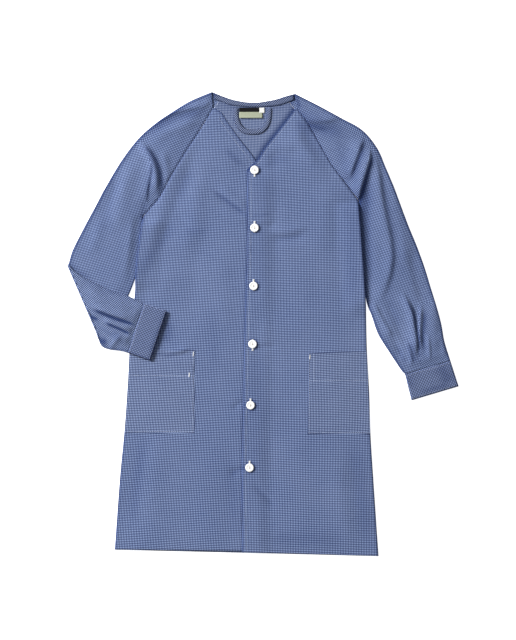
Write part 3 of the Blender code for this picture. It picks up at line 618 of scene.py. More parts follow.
class Graph:
    """Builds a material's nodes from Python expressions."""

    def __init__(self, name):
        self.material = bpy.data.materials.new(name)
        self.material.use_nodes = True
        self.tree = self.material.node_tree
        self.shader = self.tree.nodes["Principled BSDF"]

    def node(self, kind, settings=None, **inputs):
        made = self.tree.nodes.new(kind)
        for key, value in (settings or {}).items():
            setattr(made, key, value)
        for key, value in inputs.items():
            self.feed(made, key.replace("_", " "), value)
        return made

    def feed(self, node, key, value):
        socket = node.inputs[int(key[1:])] if key[0] == "i" and key[1:].isdigit() else node.inputs[key]
        if isinstance(value, Sum):
            self.tree.links.new(value.socket, socket)
        else:
            socket.default_value = value

    def math(self, operation, *values):
        made = self.node("ShaderNodeMath", {"operation": operation})
        for index, value in enumerate(values):
            self.feed(made, f"i{index}", value)
        return Sum(self, made.outputs[0])

    def uv(self):
        """The cloth's own coordinates in metres, along x and y of its UV map."""
        uv = self.node("ShaderNodeUVMap", {"uv_map": "cloth"})
        split = self.node("ShaderNodeSeparateXYZ", Vector=Sum(self, uv.outputs[0]))
        return Sum(self, split.outputs[0]), Sum(self, split.outputs[1]), Sum(self, uv.outputs[0])

    def noise(self, vector, scale, detail=2.0, rough=0.5):
        made = self.node("ShaderNodeTexNoise", {}, Vector=vector, Scale=scale, Detail=detail, Roughness=rough)
        return Sum(self, made.outputs[0])

    def place(self):
        """Object coordinates, in metres."""
        return Sum(self, self.node("ShaderNodeTexCoord").outputs["Object"])

    def attribute(self, name):
        made = self.node("ShaderNodeAttribute", {"attribute_name": name})
        return Sum(self, made.outputs["Fac"])

    def mix(self, factor, a, b, blend="MIX"):
        made = self.node("ShaderNodeMix", {"data_type": "RGBA", "blend_type": blend})
        self.feed(made, "i0", factor)
        self.feed(made, "i6", a)
        self.feed(made, "i7", b)
        return Sum(self, made.outputs[2])

    def stripe(self, coordinate, pitch, blue_share, softness):
        """1 on a blue stripe and 0 on a white one, with soft edges, at a pitch in metres."""
        wave = self.math("PINGPONG", coordinate / pitch, 0.5)
        made = self.node("ShaderNodeMapRange", {"interpolation_type": "SMOOTHSTEP"}, Value=wave)
        half = 0.5 * blue_share
        for key, value in (("From Min", half - softness), ("From Max", half + softness), ("To Min", 1.0),
                           ("To Max", 0.0)):
            made.inputs[key].default_value = value
        return Sum(self, made.outputs[0])

    def bump(self, height, distance, strength=1.0):
        made = self.node("ShaderNodeBump", {}, Height=height)
        made.inputs["Distance"].default_value = distance
        made.inputs["Strength"].default_value = strength
        return Sum(self, made.outputs[0])

    def finish(self, colour, roughness, normal=None, **constants):
        self.feed(self.shader, "Base Color", colour)
        self.feed(self.shader, "Roughness", roughness)
        if normal is not None:
            self.feed(self.shader, "Normal", normal)
        for key, value in constants.items():
            self.shader.inputs[key.replace("_", " ")].default_value = value
        return self.material


NAVY = (0.016, 0.033, 0.116)
MIDDLE_BLUE = (0.080, 0.120, 0.258)
CLOTH_WHITE = (0.310, 0.376, 0.580)
SLUB_WHITE = (0.25, 0.30, 0.45, 1.0)
DARKEST = 0.004
# The colour that the cloth is multiplied towards where shade is painted on it
SHADE_BLUE = (0.16, 0.25, 0.46, 1.0)
BLUE_SHARE = 0.60
STRIPE_SOFTNESS = 0.10
YARN = 0.00042
THREAD_DARK = 0.82
# Each cloth's tint and contrast, as the layers under it show it, with painted light and shade in the tints
# for how the light falls on each piece
GINGHAMS = {
    "cloth": ((0.915, 0.985, 1.03), 1.5),
    "pocket": ((0.995, 1.03, 1.03), 1.55),
    "inside": ((1.18, 1.12, 1.00), 1.0),
    "bias": ((0.66, 0.67, 0.71), 2.2),
    "cuff": ((0.69, 0.73, 0.83), 2.0),
    "turned": ((0.76, 0.82, 0.92), 2.3),
}


def gingham(name, tint, contrast):
    """Plain-weave gingham: blue and white yarns cross as navy, mid blue and white squares."""
    graph = Graph(name)
    across, along, both = graph.uv()
    blue_across = graph.stripe(across, CHECK_ACROSS * MM, BLUE_SHARE, STRIPE_SOFTNESS)
    blue_along = graph.stripe(along, CHECK_ALONG * MM, BLUE_SHARE, STRIPE_SOFTNESS)
    navy = (*(t * max(m + (n - m) * contrast, DARKEST) for t, n, m in zip(tint, NAVY, MIDDLE_BLUE)), 1.0)
    white = (*(t * (m + (w - m) * contrast) for t, w, m in zip(tint, CLOTH_WHITE, MIDDLE_BLUE)), 1.0)
    middle = (*(t * m for t, m in zip(tint, MIDDLE_BLUE)), 1.0)
    light = graph.mix(blue_across, white, middle)
    dark = graph.mix(blue_across, middle, navy)
    checks = graph.mix(blue_along, light, dark)
    slub = graph.noise(both, 900.0, 2.0, 0.6)
    wash = graph.noise(both, 9.0, 3.0, 0.55)
    paler = graph.mix((slub - 0.5) * 0.35 + (wash - 0.5) * 0.3 + 0.05, checks, SLUB_WHITE)
    # Painted shade: the mesh's shade attribute darkens the cloth towards a deep blue in folds and along seams
    # and edges
    shaded = graph.mix(graph.attribute("painted_shade"), paler, SHADE_BLUE, "MULTIPLY")
    warp = graph.math("SINE", across * (2.0 * math.pi / YARN))
    weft = graph.math("SINE", along * (2.0 * math.pi / YARN))
    normal = graph.bump(warp * weft * 0.5 + slub * 0.6, 0.00006, 0.5)
    return graph.finish(shaded, 0.86 + (slub - 0.5) * 0.1, normal, Sheen_Weight=0.12, Sheen_Roughness=0.5,
                        Specular_IOR_Level=0.25)


def woven_label(name, colour, edge, rib):
    """A satin label: fine ribs, slightly darker between them and where its fibres vary."""
    graph = Graph(name)
    _, along, both = graph.uv()
    ribs = graph.math("SINE", along * (2.0 * math.pi / rib))
    fibre = graph.noise(both, 1500.0, 2.0, 0.6)
    shade = graph.mix(fibre * 0.35 + (ribs * 0.5 + 0.5) * 0.25, (*colour, 1.0), (*edge, 1.0))
    normal = graph.bump(ribs + fibre, 0.00008, 0.6)
    return graph.finish(shade, 0.65 + fibre * 0.15, normal, Specular_IOR_Level=0.12)


def button_resin():
    """A pearly white, a little cloudy."""
    graph = Graph("button_resin")
    place = graph.place()
    cloud = graph.noise(place, 160.0, 3.0, 0.5)
    colour = graph.mix(cloud * 0.5, (0.83, 0.83, 0.81, 1.0), (0.93, 0.93, 0.92, 1.0))
    normal = graph.bump(graph.noise(place, 420.0, 2.0, 0.5), 0.00003, 0.4)
    return graph.finish(colour, 0.28 + cloud * 0.1, normal, Coat_Weight=0.15, Coat_Roughness=0.2)


def thread(name, colour):
    """Twisted cotton, its fibres a little darker here and there."""
    graph = Graph(name)
    fibre = graph.noise(graph.place(), 2600.0, 2.0, 0.6)
    dark = tuple(THREAD_DARK * c for c in colour)
    return graph.finish(graph.mix(fibre, (*dark, 1.0), (*colour, 1.0)), 0.7,
                        graph.bump(fibre, 0.00008, 0.5), Sheen_Weight=0.2)


# The floor is a pale light table, which keeps it white under the soft shadows
FLOOR_GLOW = 0.8


def floor_paint():
    graph = Graph("floor")
    grain = graph.noise(graph.place(), 3.0, 2.0, 0.5)
    graph.feed(graph.shader, "Emission Color", (1.0, 1.0, 1.0, 1.0))
    graph.feed(graph.shader, "Emission Strength", FLOOR_GLOW)
    return graph.finish(graph.mix(grain * 0.15, (0.95, 0.95, 0.95, 1.0), (0.92, 0.92, 0.92, 1.0)), 0.9)


# Cloth sheets

Cut = namedtuple("Cut", "width length area")
# The stripes lie closer together towards the chest, by this share for each millimetre up
GRAIN_EASE = 0.00013
GRAIN_LEVEL = 40.0
# The panels' grain: the turns of both sets of stripes in degrees, and the seed of their waves
BACK_GRAIN = (1.3, -2.1, 21)
RIGHT_FRONT_GRAIN = (-1.9, -2.2, 31)
LEFT_FRONT_GRAIN = (-0.8, 1.6, 41)
LEFT_CUFF_TURN = -70.7
RIGHT_CUFF_TURN = -20.6
# Points closer than the first are one, edges shorter than the second are none, in metres
WELD = 1e-6
SLIVER = 1e-7


def plan_uv(points, turn, shift, seed):
    """The cloth's own coordinates: its plan turned to the grain, a little wavy where the cloth has moved."""
    x, y = points[..., 0], points[..., 1]
    x = x + rumple(x, y, 170.0, 0.35, seed)
    y = y + rumple(x, y, 150.0, 0.35, seed + 50)
    angle = np.radians(turn)
    u = x * np.cos(angle) + y * np.sin(angle) + shift[0]
    v = y * np.cos(angle) - x * np.sin(angle) + shift[1]
    return np.stack([u, v], axis=-1) * MM


def body_uv(points, across_turn, along_turn, seed):
    """The body's grain: each set of stripes has its own slight turn and lies closer at the chest."""
    x, y = points[..., 0], points[..., 1]
    x = x + rumple(x, y, 170.0, 0.4, seed)
    y = y + rumple(x, y, 150.0, 0.4, seed + 50)
    height = np.clip(y, -400.0, 300.0) - GRAIN_LEVEL
    u = x * (1.0 + height * GRAIN_EASE) + y * math.sin(math.radians(across_turn))
    v = y + 0.5 * GRAIN_EASE * height ** 2 - x * math.sin(math.radians(along_turn))
    return np.stack([u, v], axis=-1) * MM


def folded_uv(points, fold, low_turn, high_turn, fan, seed):
    """A sleeve's grain turns about its armpit fold: the shoulder lies one way and the arm another.

    Gives the grain of the arm's side and of the shoulder's side of the fold line, which differ only below it.
    The fan's two directions from its top, in degrees, bound the cloth that turns from one into the other.
    """
    rising = fan[0] < 0.0
    dx = points[..., 0] - fold[0][0]
    dy = points[..., 1] - fold[0][1]
    around = np.degrees(np.arctan2(dy, dx))
    local = np.stack([dx, dy, points[..., 2]], axis=-1)
    grains = []
    for start in ((-180.0, -60.0) if rising else (-60.0, -180.0)):
        angle = np.mod(around - start, 360.0) + start
        share = np.clip((angle - fan[0]) / (fan[1] - fan[0]), 0.0, 1.0)
        turn = low_turn + (high_turn - low_turn) * (share if rising else 1.0 - share)
        grains.append(plan_uv(local, turn, (0.0, 0.0), seed))
    return grains


def link_object(name, data):
    made = bpy.data.objects.new(name, data)
    bpy.context.scene.collection.objects.link(made)
    return made


def cloth_mesh(name, points, uv, patches, shade):
    """A grid of points in millimetres as a mesh with the cloth's own coordinates and its painted shade."""
    rows, columns = points.shape[:2]
    index = np.arange(rows * columns).reshape(rows, columns)
    corners = np.stack([index[:-1, :-1], index[:-1, 1:], index[1:, 1:], index[1:, :-1]], axis=-1)
    corners = corners.reshape(-1, 4)
    mesh = bpy.data.meshes.new(name)
    mesh.from_pydata((points.reshape(-1, 3) * MM).tolist(), [], corners.tolist())
    middle = points.reshape(-1, 3)[corners].mean(axis=1)
    grain = uv.reshape(-1, 2)[corners]
    for inside, other in patches:
        chosen = inside(middle[:, 0], middle[:, 1]) & (middle[:, 2] > TUBE_MID)
        grain[chosen] = other.reshape(-1, 2)[corners[chosen]]
    mesh.uv_layers.new(name="cloth").data.foreach_set("uv", grain.ravel())
    if shade is not None:
        values = mesh.attributes.new("painted_shade", "FLOAT", "POINT")
        values.data.foreach_set("value", np.clip(shade, 0.0, 1.0).astype(np.float32).ravel())
    return mesh


def clean_cloth(mesh, tube, crisp):
    """Close a tube's seam, turn the faces outward and round all but crisp edges. Gives the cloth's area."""
    bm = bmesh.new()
    bm.from_mesh(mesh)
    if tube:
        bmesh.ops.remove_doubles(bm, verts=bm.verts, dist=WELD)
    bmesh.ops.dissolve_degenerate(bm, dist=SLIVER, edges=bm.edges)
    bmesh.ops.recalc_face_normals(bm, faces=bm.faces)
    if not tube and sum(face.normal.z for face in bm.faces) < 0:
        bmesh.ops.reverse_faces(bm, faces=bm.faces)
    area = sum(face.calc_area() for face in bm.faces)
    for face in bm.faces:
        face.smooth = True
    for edge in bm.edges:
        edge.smooth = not (crisp and edge.is_boundary)
    bm.to_mesh(mesh)
    bm.free()
    return area


def sheet_object(name, points, uv, material, thickness=CLOTH, tube=False, patches=(), shade=None, beyond=None,
                 crisp=False):
    """A grid of points in millimetres as a cloth wall, with its cut size.

    Patches of it may have another grain, and beyond a row it may have another finish. Crisp edges are pressed
    sharp, the others look rounded.
    """
    mesh = cloth_mesh(name, points, uv, patches, shade)
    finishes = [material]
    if beyond is not None:
        row, other = beyond
        finishes.append(other)
        finish = np.arange(len(mesh.polygons)) >= row * (points.shape[1] - 1)
        mesh.polygons.foreach_set("material_index", finish.astype(np.int32))
    area = clean_cloth(mesh, tube, crisp)
    for finish in finishes:
        mesh.materials.append(finish)
    made = link_object(name, mesh)
    wall = made.modifiers.new("cloth", "SOLIDIFY")
    wall.thickness = thickness * MM
    wall.offset = -1.0
    across = np.linalg.norm(np.diff(points, axis=1), axis=2).sum(axis=1).max() * MM
    along = np.linalg.norm(np.diff(points, axis=0), axis=2).sum(axis=0).max() * MM
    return made, Cut(float(across), float(along), area)


# A strip's cut is no narrower than this: what doesn't show runs on into its seam
NARROWEST_CUT = 0.0102


def declare(made, cut, node):
    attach(made, "root")
    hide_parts(node)
    width = max(cut.width, NARROWEST_CUT)
    length = max(cut.length, NARROWEST_CUT)
    area = min(cut.area, width * length)


def ruled_grid(runs, top, dip=None, cell=CELL):
    """Rows between pairs of edges, joined run by run, with their heights from a field."""
    lefts = []
    rights = []
    for left, right in runs:
        count = max(2, round(max(curve_length(left), curve_length(right)) / cell))
        skip = 1 if lefts else 0
        lefts.append(curve_through(left, count)[skip:])
        rights.append(curve_through(right, count)[skip:])
    left = np.vstack(lefts)
    right = np.vstack(rights)
    widest = np.linalg.norm(right - left, axis=1).max()
    share = np.linspace(0.0, 1.0, round(widest / cell) + 1)[None, :, None]
    plan = left[:, None, :] * (1.0 - share) + right[:, None, :] * share
    x, y = plan[..., 0], plan[..., 1]
    if dip is not None:
        y = y - dip(x, y)
    return np.stack([x, y, top(x, y)], axis=-1)


def cut_at(edge, y):
    """An edge split in two at a height."""
    x = float(edge_x(edge, y))
    low = [point for point in edge if point[1] < y - JOINED] + [(x, y)]
    high = [(x, y)] + [point for point in edge if point[1] > y + JOINED]
    return low, high


def back_neck_dip(x, y):
    """How far the back's rows sink towards the middle of the neck."""
    share = (x - BACK_NECK_CENTRE) / BACK_NECK_HALF
    dip = BACK_NECK_DIP * np.maximum(0.0, 1.0 - share ** 2)
    return dip * smooth(1.0 - (BACK_NECK_TOP - y) / BACK_NECK_FADE)


def button_shade(points):
    """Painted shade: a dark ring where a button's edge hangs over the cloth."""
    shade = 0.0
    for x, y in BUTTONS:
        away = np.hypot(points[..., 0] - x, points[..., 1] - y)
        shade = shade + BUTTON_SHADE * smooth((BUTTON_SHADE_REACH - away) / BUTTON_SHADE_FADE)
    return shade


# Heights at which the fronts' rows change their slope
UNDERLAP_BEND = 184.0
RIGHT_RAGLAN_BEND = 250.0
PLACKET_BEND = 212.0
LEFT_RAGLAN_BEND = 266.0


def make_back(inside):
    runs = [(RIGHT_SIDE, LEFT_SIDE), (RIGHT_BACK_RAGLAN, LEFT_BACK_RAGLAN)]
    points = ruled_grid(runs, back_top, back_neck_dip, BACK_CELL)
    uv = body_uv(points, *BACK_GRAIN)
    shade = panel_shade(points, BACK_LINES)
    back, cut = sheet_object("back_panel", points, uv, inside, BACK_CLOTH, shade=shade)
    declare(back, cut, "back")


def make_right_front(cloth):
    low_lap, high_lap = cut_at(UNDERLAP_EDGE, UNDERLAP_BEND)
    low_raglan, high_raglan = cut_at(RIGHT_FRONT_RAGLAN, RIGHT_RAGLAN_BEND)
    runs = [(RIGHT_SIDE, low_lap), (low_raglan, high_lap), (high_raglan, RIGHT_V)]
    points = ruled_grid(runs, right_front_top)
    x, y = points[..., 0], points[..., 1]
    # Painted shade on the right front along the placket's edge, below its top
    painted_lap_shade = line_shade(PLACKET_EDGE, x, y, LAP_SHADE, LAP_SHADE_WIDTH) * (y < LAP_SHADE_TOP)
    shade = panel_shade(points, RIGHT_FRONT_LINES, BODY_SHADES) + painted_lap_shade
    uv = body_uv(points, *RIGHT_FRONT_GRAIN)
    front, cut = sheet_object("right_front_panel", points, uv, cloth, shade=shade)
    declare(front, cut, "front_right")


def make_left_front(cloth):
    low_placket, high_placket = cut_at(PLACKET_EDGE, PLACKET_BEND)
    low_raglan, high_raglan = cut_at(LEFT_FRONT_RAGLAN, LEFT_RAGLAN_BEND)
    runs = [(low_placket, LEFT_SIDE), (high_placket, low_raglan), (LEFT_V, high_raglan)]
    points = ruled_grid(runs, left_front_top)
    shade = panel_shade(points, LEFT_FRONT_LINES, BODY_SHADES) + button_shade(points)
    uv = body_uv(points, *LEFT_FRONT_GRAIN)
    front, cut = sheet_object("left_front_panel", points, uv, cloth, shade=shade)
    declare(front, cut, "front_left")


def ring_columns(width):
    """Distances from the front seam across the top to the fold, denser where the cloth turns over."""
    turn = FOLD_RADIUS * np.array([0.0, 0.06, 0.22, 0.5, 0.8])
    inner = FOLD_RADIUS + (width - 2.0 * FOLD_RADIUS) * np.linspace(0.0, 1.0, RING_CELLS + 1)
    return np.concatenate([turn, inner, width - turn[::-1]])


def rounded(away):
    """A quarter circle's rise over the fold's radius, by the distance from the fold."""
    return np.sqrt(1.0 - (1.0 - np.clip(away / FOLD_RADIUS, 0.0, 1.0)) ** 2)


def sleeve_ring(front, outer, back, closed, top, bottom):
    """One section of a flattened sleeve: over the top from the front seam, round the fold and back below.

    Its top and its bottom give their height by x, y, the distance from the seam and the sleeve's width there.
    """
    halves = []
    for seam, field in ((front, top), (back, bottom)):
        width = math.hypot(outer[0] - seam[0], outer[1] - seam[1])
        away = ring_columns(width)
        share = (away / width)[:, None]
        plan = np.asarray(seam) * (1.0 - share) + np.asarray(outer) * share
        round_fold = rounded(width - away) * (rounded(away) if closed else 1.0)
        height = TUBE_MID + (field(plan[:, 0], plan[:, 1], away, width) - TUBE_MID) * round_fold
        halves.append(np.column_stack([plan, height]))
    return np.vstack([halves[0], halves[1][::-1][1:]])


def sleeve_top(creases, seed, ends, raglan):
    """Height of a sleeve's upper side, flat at the given end lines and with a ditch along the raglan seam."""
    def top(x, y, away, width):
        fade = 1.0
        for line, reach in ends:
            fade = fade * smooth(distance_to(line, x, y) / reach)
        level = FRONT_TOP + SLEEVE_PUFF * smooth(np.minimum(away, width - away) / SLEEVE_PUFF_REACH) * fade
        folds = (crease_height(creases, x, y) + rumple(x, y, 60.0, 0.14, seed)) * (0.12 + 0.88 * fade)
        seam = distance_to(raglan, x, y)
        pucker = SLEEVE_PUCKER * np.sin(y / PUCKER_WAVE) * np.exp(-seam / PUCKER_REACH)
        return np.maximum(level + folds, SLEEVE_LOWEST) - SEAM_DITCH * bell(seam, SEAM_DITCH_WIDTH) + pucker
    return top


def flat_bottom(x, *_):
    return np.full(x.shape, SLEEVE_BOTTOM)


def tube_shade(points, shades, raglan, edge_width, inner_shade, outer_shade=EDGE_SHADE):
    """A sleeve's painted shade: in its folds, along its seam and at the two edges where it turns under."""
    half = points.shape[1] // 2
    start = points[:, :1, :2]
    width = np.linalg.norm(points[:, half:half + 1, :2] - start, axis=-1)
    away = np.linalg.norm(points[..., :2] - start, axis=-1)
    closed = np.linalg.norm(start - points[:, -1:, :2], axis=-1) < JOINED
    edges = outer_shade * bell(width - away, edge_width) + inner_shade * bell(away, LIT_EDGE_WIDTH) * closed
    upper = np.arange(points.shape[1])[None, :] <= half
    return panel_shade(points, [(raglan, *SEAM_LINE)], shades) * upper + edges


def seam_beside(raglan, shift):
    """A raglan seam from the neck down, moved a little onto the sleeve."""
    return [(x + shift, y) for x, y in reversed(raglan)]


def sleeve_rings(front, back, shoulder, underarm, outer, top):
    """Rings of a sleeve from the neck to the armpit, open at the raglan seams, and on down it, closed."""
    count = round(curve_length(shoulder) / SLEEVE_CELL)
    lines = [curve_through(line, count)[:-1] for line in (front, shoulder, back)]
    rings = [sleeve_ring(seam, fold, under, False, top, flat_bottom) for seam, fold, under in zip(*lines)]
    count = round(curve_length(outer) / SLEEVE_CELL)
    for seam, fold in zip(curve_through(underarm, count), curve_through(outer, count)):
        rings.append(sleeve_ring(seam, fold, seam, True, top, flat_bottom))
    return np.array(rings)


# Fold lines by the armpits and the wrist, from the top down, where the sleeves' grain changes
LEFT_ARMPIT_FOLD = on_photo((371, 150), (366, 165), (361, 184), (358, 204), (363, 262),
                            (367, 300), (375, 360))
LEFT_PIT_EDGE = on_photo((357, 146), (350, 164), (345, 180), (346, 204))
LEFT_WRIST_PLEAT = on_photo((417, 300), (419, 322), (420, 360))
RIGHT_ARMPIT_FOLD = on_photo((143, 143), (152, 151), (158, 163), (161, 182), (158, 197),
                             (147, 211), (140, 236))
RIGHT_LENS_EDGE = on_photo((148, 153), (151, 163), (151, 175), (148, 190), (146, 206))
LEFT_PIT_TOP = 262.0
LEFT_WRIST_TOP = 36.0
RIGHT_PIT_LOW = 150.0
RIGHT_LENS_TOP = 290.0
RIGHT_LENS_LOW = 200.0
# Turns of the grain in degrees: of the arm and the shoulder, the fan between them and the pieces in the folds
LEFT_GRAIN_TURNS = (-13.5, 22.5)
LEFT_FAN = (-51.0, 139.0)
LEFT_PIT_TURN = 44.0
LEFT_WRIST_TURN = -27.0
RIGHT_GRAIN_TURNS = (11.5, -17.5)
RIGHT_FAN = (40.0, 220.0)
RIGHT_LENS_TURN = 37.0
# Rings round the elbow that still have the sleeve's own finish
LIT_ELBOW_ROWS = 4


def east_of(fold, y):
    """The x of a fold line at heights, for a line drawn from the top down."""
    return edge_x(fold[::-1], y)


def make_left_sleeve(cloth):
    ends = [(CUFF_LEFT[:2], CUFF_END_REACH), (LEFT_NECK_END, NECK_END_REACH)]
    top = sleeve_top(LEFT_SLEEVE_CREASES, 61, ends, LEFT_FRONT_RAGLAN)
    top = under_side_seam(top, LEFT_SIDE, 1.0, LEFT_HELD_ROWS)
    front = seam_beside(LEFT_FRONT_RAGLAN, SEAM)
    back = seam_beside(LEFT_BACK_RAGLAN, SEAM)
    points = sleeve_rings(front, back, LEFT_SHOULDER, LEFT_UNDERARM, LEFT_OUTER, top)
    arm, shoulder = folded_uv(points, LEFT_ARMPIT_FOLD, *LEFT_GRAIN_TURNS, LEFT_FAN, 71)
    patches = [
        (lambda x, y: (y < LEFT_ARMPIT_FOLD[0][1]) & (x < east_of(LEFT_ARMPIT_FOLD, y)), shoulder),
        (lambda x, y: (y < LEFT_PIT_TOP) & (x > east_of(LEFT_PIT_EDGE, y))
         & (x < east_of(LEFT_ARMPIT_FOLD, y)), plan_uv(points, LEFT_PIT_TURN, (0.6, 0.2), 73)),
        (lambda x, y: (y < LEFT_WRIST_TOP) & (x > east_of(LEFT_WRIST_PLEAT, y)),
         plan_uv(points, LEFT_WRIST_TURN, (0.4, 0.9), 74)),
    ]
    shade = tube_shade(points, LEFT_SLEEVE_SHADES, LEFT_FRONT_RAGLAN, LEFT_EDGE_WIDTH, LEFT_INNER_SHADE)
    made, cut = sheet_object("left_sleeve", points, arm, cloth, CLOTH, True, patches, shade)
    declare(made, cut, "sleeve_left")


def under_side_seam(top, side, sign, rows):
    """Hold the sleeve down to its flat height where the body's side lies on it."""
    def held(x, y, away, width):
        outside = sign * (x - edge_x(side, y))
        press = rows_between(y, *rows) * (1.0 - smooth((outside - 2.0) / 16.0))
        height = top(x, y, away, width)
        return height * (1.0 - press) + np.minimum(height, FRONT_TOP) * press
    return held


def round_crease(ring, angle):
    """Carry a ring round the elbow crease by an angle."""
    along = np.asarray(RIGHT_OUTER[-1]) - np.asarray(RIGHT_UNDERARM[-1])
    along = along / np.linalg.norm(along)
    out = np.array([-along[1], along[0]])
    radius = FOLD_AXIS - ring[:, 2]
    moved = ring.copy()
    moved[:, :2] += out * (radius * math.sin(angle))[:, None]
    moved[:, 2] = FOLD_AXIS - radius * math.cos(angle)
    return moved


def mirrored_at(points, a, b):
    """Plan points mirrored about a line, which unfolds the forearm for its grain."""
    a = np.asarray(a)
    along = np.asarray(b) - a
    along = along / np.linalg.norm(along)
    rel = points[..., :2] - a
    dot = (rel * along).sum(axis=-1, keepdims=True)
    return np.concatenate([a + 2.0 * dot * along - rel, points[..., 2:]], axis=-1)


def forearm_lower(x, *_):
    return np.full(x.shape, FRONT_TOP)


def forearm_upper(x, y, away, width):
    """The forearm's outer side, measured down from the turned-over sleeve's level."""
    fade = smooth(distance_to(ELBOW_CREASE, x, y) / 26.0) * smooth(distance_to(CUFF_RIGHT[:2], x, y) / 9.0)
    puff = FOREARM_PUFF * smooth(np.minimum(away, width - away) / FOREARM_PUFF_REACH) * fade
    folds = crease_height(FOREARM_CREASES, x, y) * (0.2 + 0.8 * fade) + rumple(x, y, 45.0, 0.12, 66)
    return np.minimum(-(puff + folds), FOREARM_LOWEST)


def turned_over(ring, rise):
    """A ring of the forearm, built as if it lay flat, laid upside down on the arm."""
    ring[:, 2] = 2.0 * FOLD_AXIS - ring[:, 2] + rise
    return ring


def forearm_rings():
    """Rings from the elbow crease to the wrist, turned over onto the body."""
    count = round(curve_length(FOREARM_TOP) / SLEEVE_CELL)
    seams = curve_through(FOREARM_BOTTOM, count)
    folds = curve_through(FOREARM_TOP, count)
    rings = []
    for step, (seam, fold) in enumerate(zip(seams, folds)):
        ring = sleeve_ring(seam, fold, seam, True, forearm_lower, forearm_upper)
        rings.append(turned_over(ring, FOREARM_RISE * smooth(step / count)))
    return np.array(rings)


def make_right_sleeve(cloth, turned_cloth):
    ends = [(ELBOW_CREASE, ELBOW_END_REACH), (RIGHT_NECK_END, NECK_END_REACH)]
    top = sleeve_top(RIGHT_SLEEVE_CREASES, 62, ends, RIGHT_FRONT_RAGLAN)
    top = under_side_seam(top, RIGHT_SIDE, -1.0, RIGHT_HELD_ROWS)
    front = seam_beside(RIGHT_FRONT_RAGLAN, -SEAM)
    back = seam_beside(RIGHT_BACK_RAGLAN, -SEAM)
    upper = sleeve_rings(front, back, RIGHT_SHOULDER, RIGHT_UNDERARM, RIGHT_OUTER, top)
    angles = [math.pi * step / ELBOW_STEPS for step in range(1, ELBOW_STEPS)]
    turns = np.array([round_crease(upper[-1], angle) for angle in angles])
    lower = forearm_rings()
    points = np.concatenate([upper, turns, lower])
    flat = np.concatenate([upper, turns, mirrored_at(lower, *ELBOW_CREASE)])
    arm, shoulder = folded_uv(flat, RIGHT_ARMPIT_FOLD, *RIGHT_GRAIN_TURNS, RIGHT_FAN, 72)
    patches = [
        (lambda x, y: (y < RIGHT_ARMPIT_FOLD[0][1]) & (y > RIGHT_PIT_LOW)
         & (x > east_of(RIGHT_ARMPIT_FOLD, y)), shoulder),
        (lambda x, y: (y < RIGHT_LENS_TOP) & (y > RIGHT_LENS_LOW) & (x > east_of(RIGHT_LENS_EDGE, y))
         & (x < east_of(RIGHT_ARMPIT_FOLD, y)), plan_uv(flat, RIGHT_LENS_TURN, (0.3, 0.9), 75)),
    ]
    forearm = tube_shade(lower[:, ::-1], FOREARM_SHADES, RIGHT_FRONT_RAGLAN, EDGE_SHADE_WIDTH,
                         FOREARM_INNER_SHADE, FOREARM_OUTER_SHADE)
    # Painted shade: on the upper sleeve, a flat share round the elbow and on the forearm
    shade = np.concatenate([
        tube_shade(upper, RIGHT_SLEEVE_SHADES, RIGHT_FRONT_RAGLAN, LIT_EDGE_WIDTH, RIGHT_INNER_SHADE),
        np.full(turns.shape[:2], ELBOW_SHADE),
        forearm[:, ::-1],
    ])
    beyond = (len(upper) + LIT_ELBOW_ROWS, turned_cloth)
    made, cut = sheet_object("right_sleeve", points, arm, cloth, CLOTH, True, patches, shade, beyond)
    declare(made, cut, "sleeve_right")


CUFF_ROWS = 15
CUFF_HEIGHT = 0.75
CUFF_EASE = 1.4
# Painted shade by each cuff's seam and along one of its sides
CUFF_SEAM_SHADE = 0.3
CUFF_SIDE_SHADE = 0.85
# Painted shade at the outer edge, for the cuff that lies straight and for the one that is turned over
CUFF_EDGE_SHADE = (0.4, 1.0)
CUFF_STITCH_ROWS = (0.09, 0.93)


def cuff_row(corners, share):
    """Both ends of a row across a cuff, at a share of the way from its seam to its outer edge."""
    seam_start, fold_start, seam_end, fold_end = (np.asarray(corner) for corner in corners)
    return seam_start * (1.0 - share) + seam_end * share, fold_start * (1.0 - share) + fold_end * share


def cuff_side(level, height, seed):
    """A cuff's padded side, as high as its row."""
    def field(x, y, *_):
        return level + height + rumple(x, y, 28.0, 0.10, seed)
    return field


def make_cuff(name, node, corners, cloth, turned, turn, seed):
    """A doubled band at a sleeve's end, pressed flat, its seam edge tucked against the sleeve."""
    rings = []
    for step in range(CUFF_ROWS + 1):
        seam, fold = cuff_row(corners, step / CUFF_ROWS)
        height = CUFF_HEIGHT * smooth(step / CUFF_EASE) * smooth(CUFF_ROWS - step)
        if turned:
            ring = sleeve_ring(seam, fold, seam, True, forearm_lower, cuff_side(-0.1, -height, seed))
            rings.append(turned_over(ring, FOREARM_RISE))
        else:
            rings.append(sleeve_ring(seam, fold, seam, True, cuff_side(FRONT_TOP, height, seed), flat_bottom))
    points = np.array(rings)
    away_side = corners[0::2] if turned else corners[1::2]
    down = np.linspace(0.0, 1.0, CUFF_ROWS + 1)[:, None]
    # Painted shade at the seam and the outer edge, along one side and in the cuff's folds
    ends = CUFF_SEAM_SHADE * (1.0 - down) ** 20 + CUFF_EDGE_SHADE[turned] * down ** 14
    shade = panel_shade(points, [(away_side, CUFF_SIDE_SHADE)], CUFF_SHADES) + ends
    uv = plan_uv(points, turn, (0.4, 0.4), seed)
    made, cut = sheet_object(name, points, uv, cloth, tube=True, shade=shade)
    declare(made, cut, node)
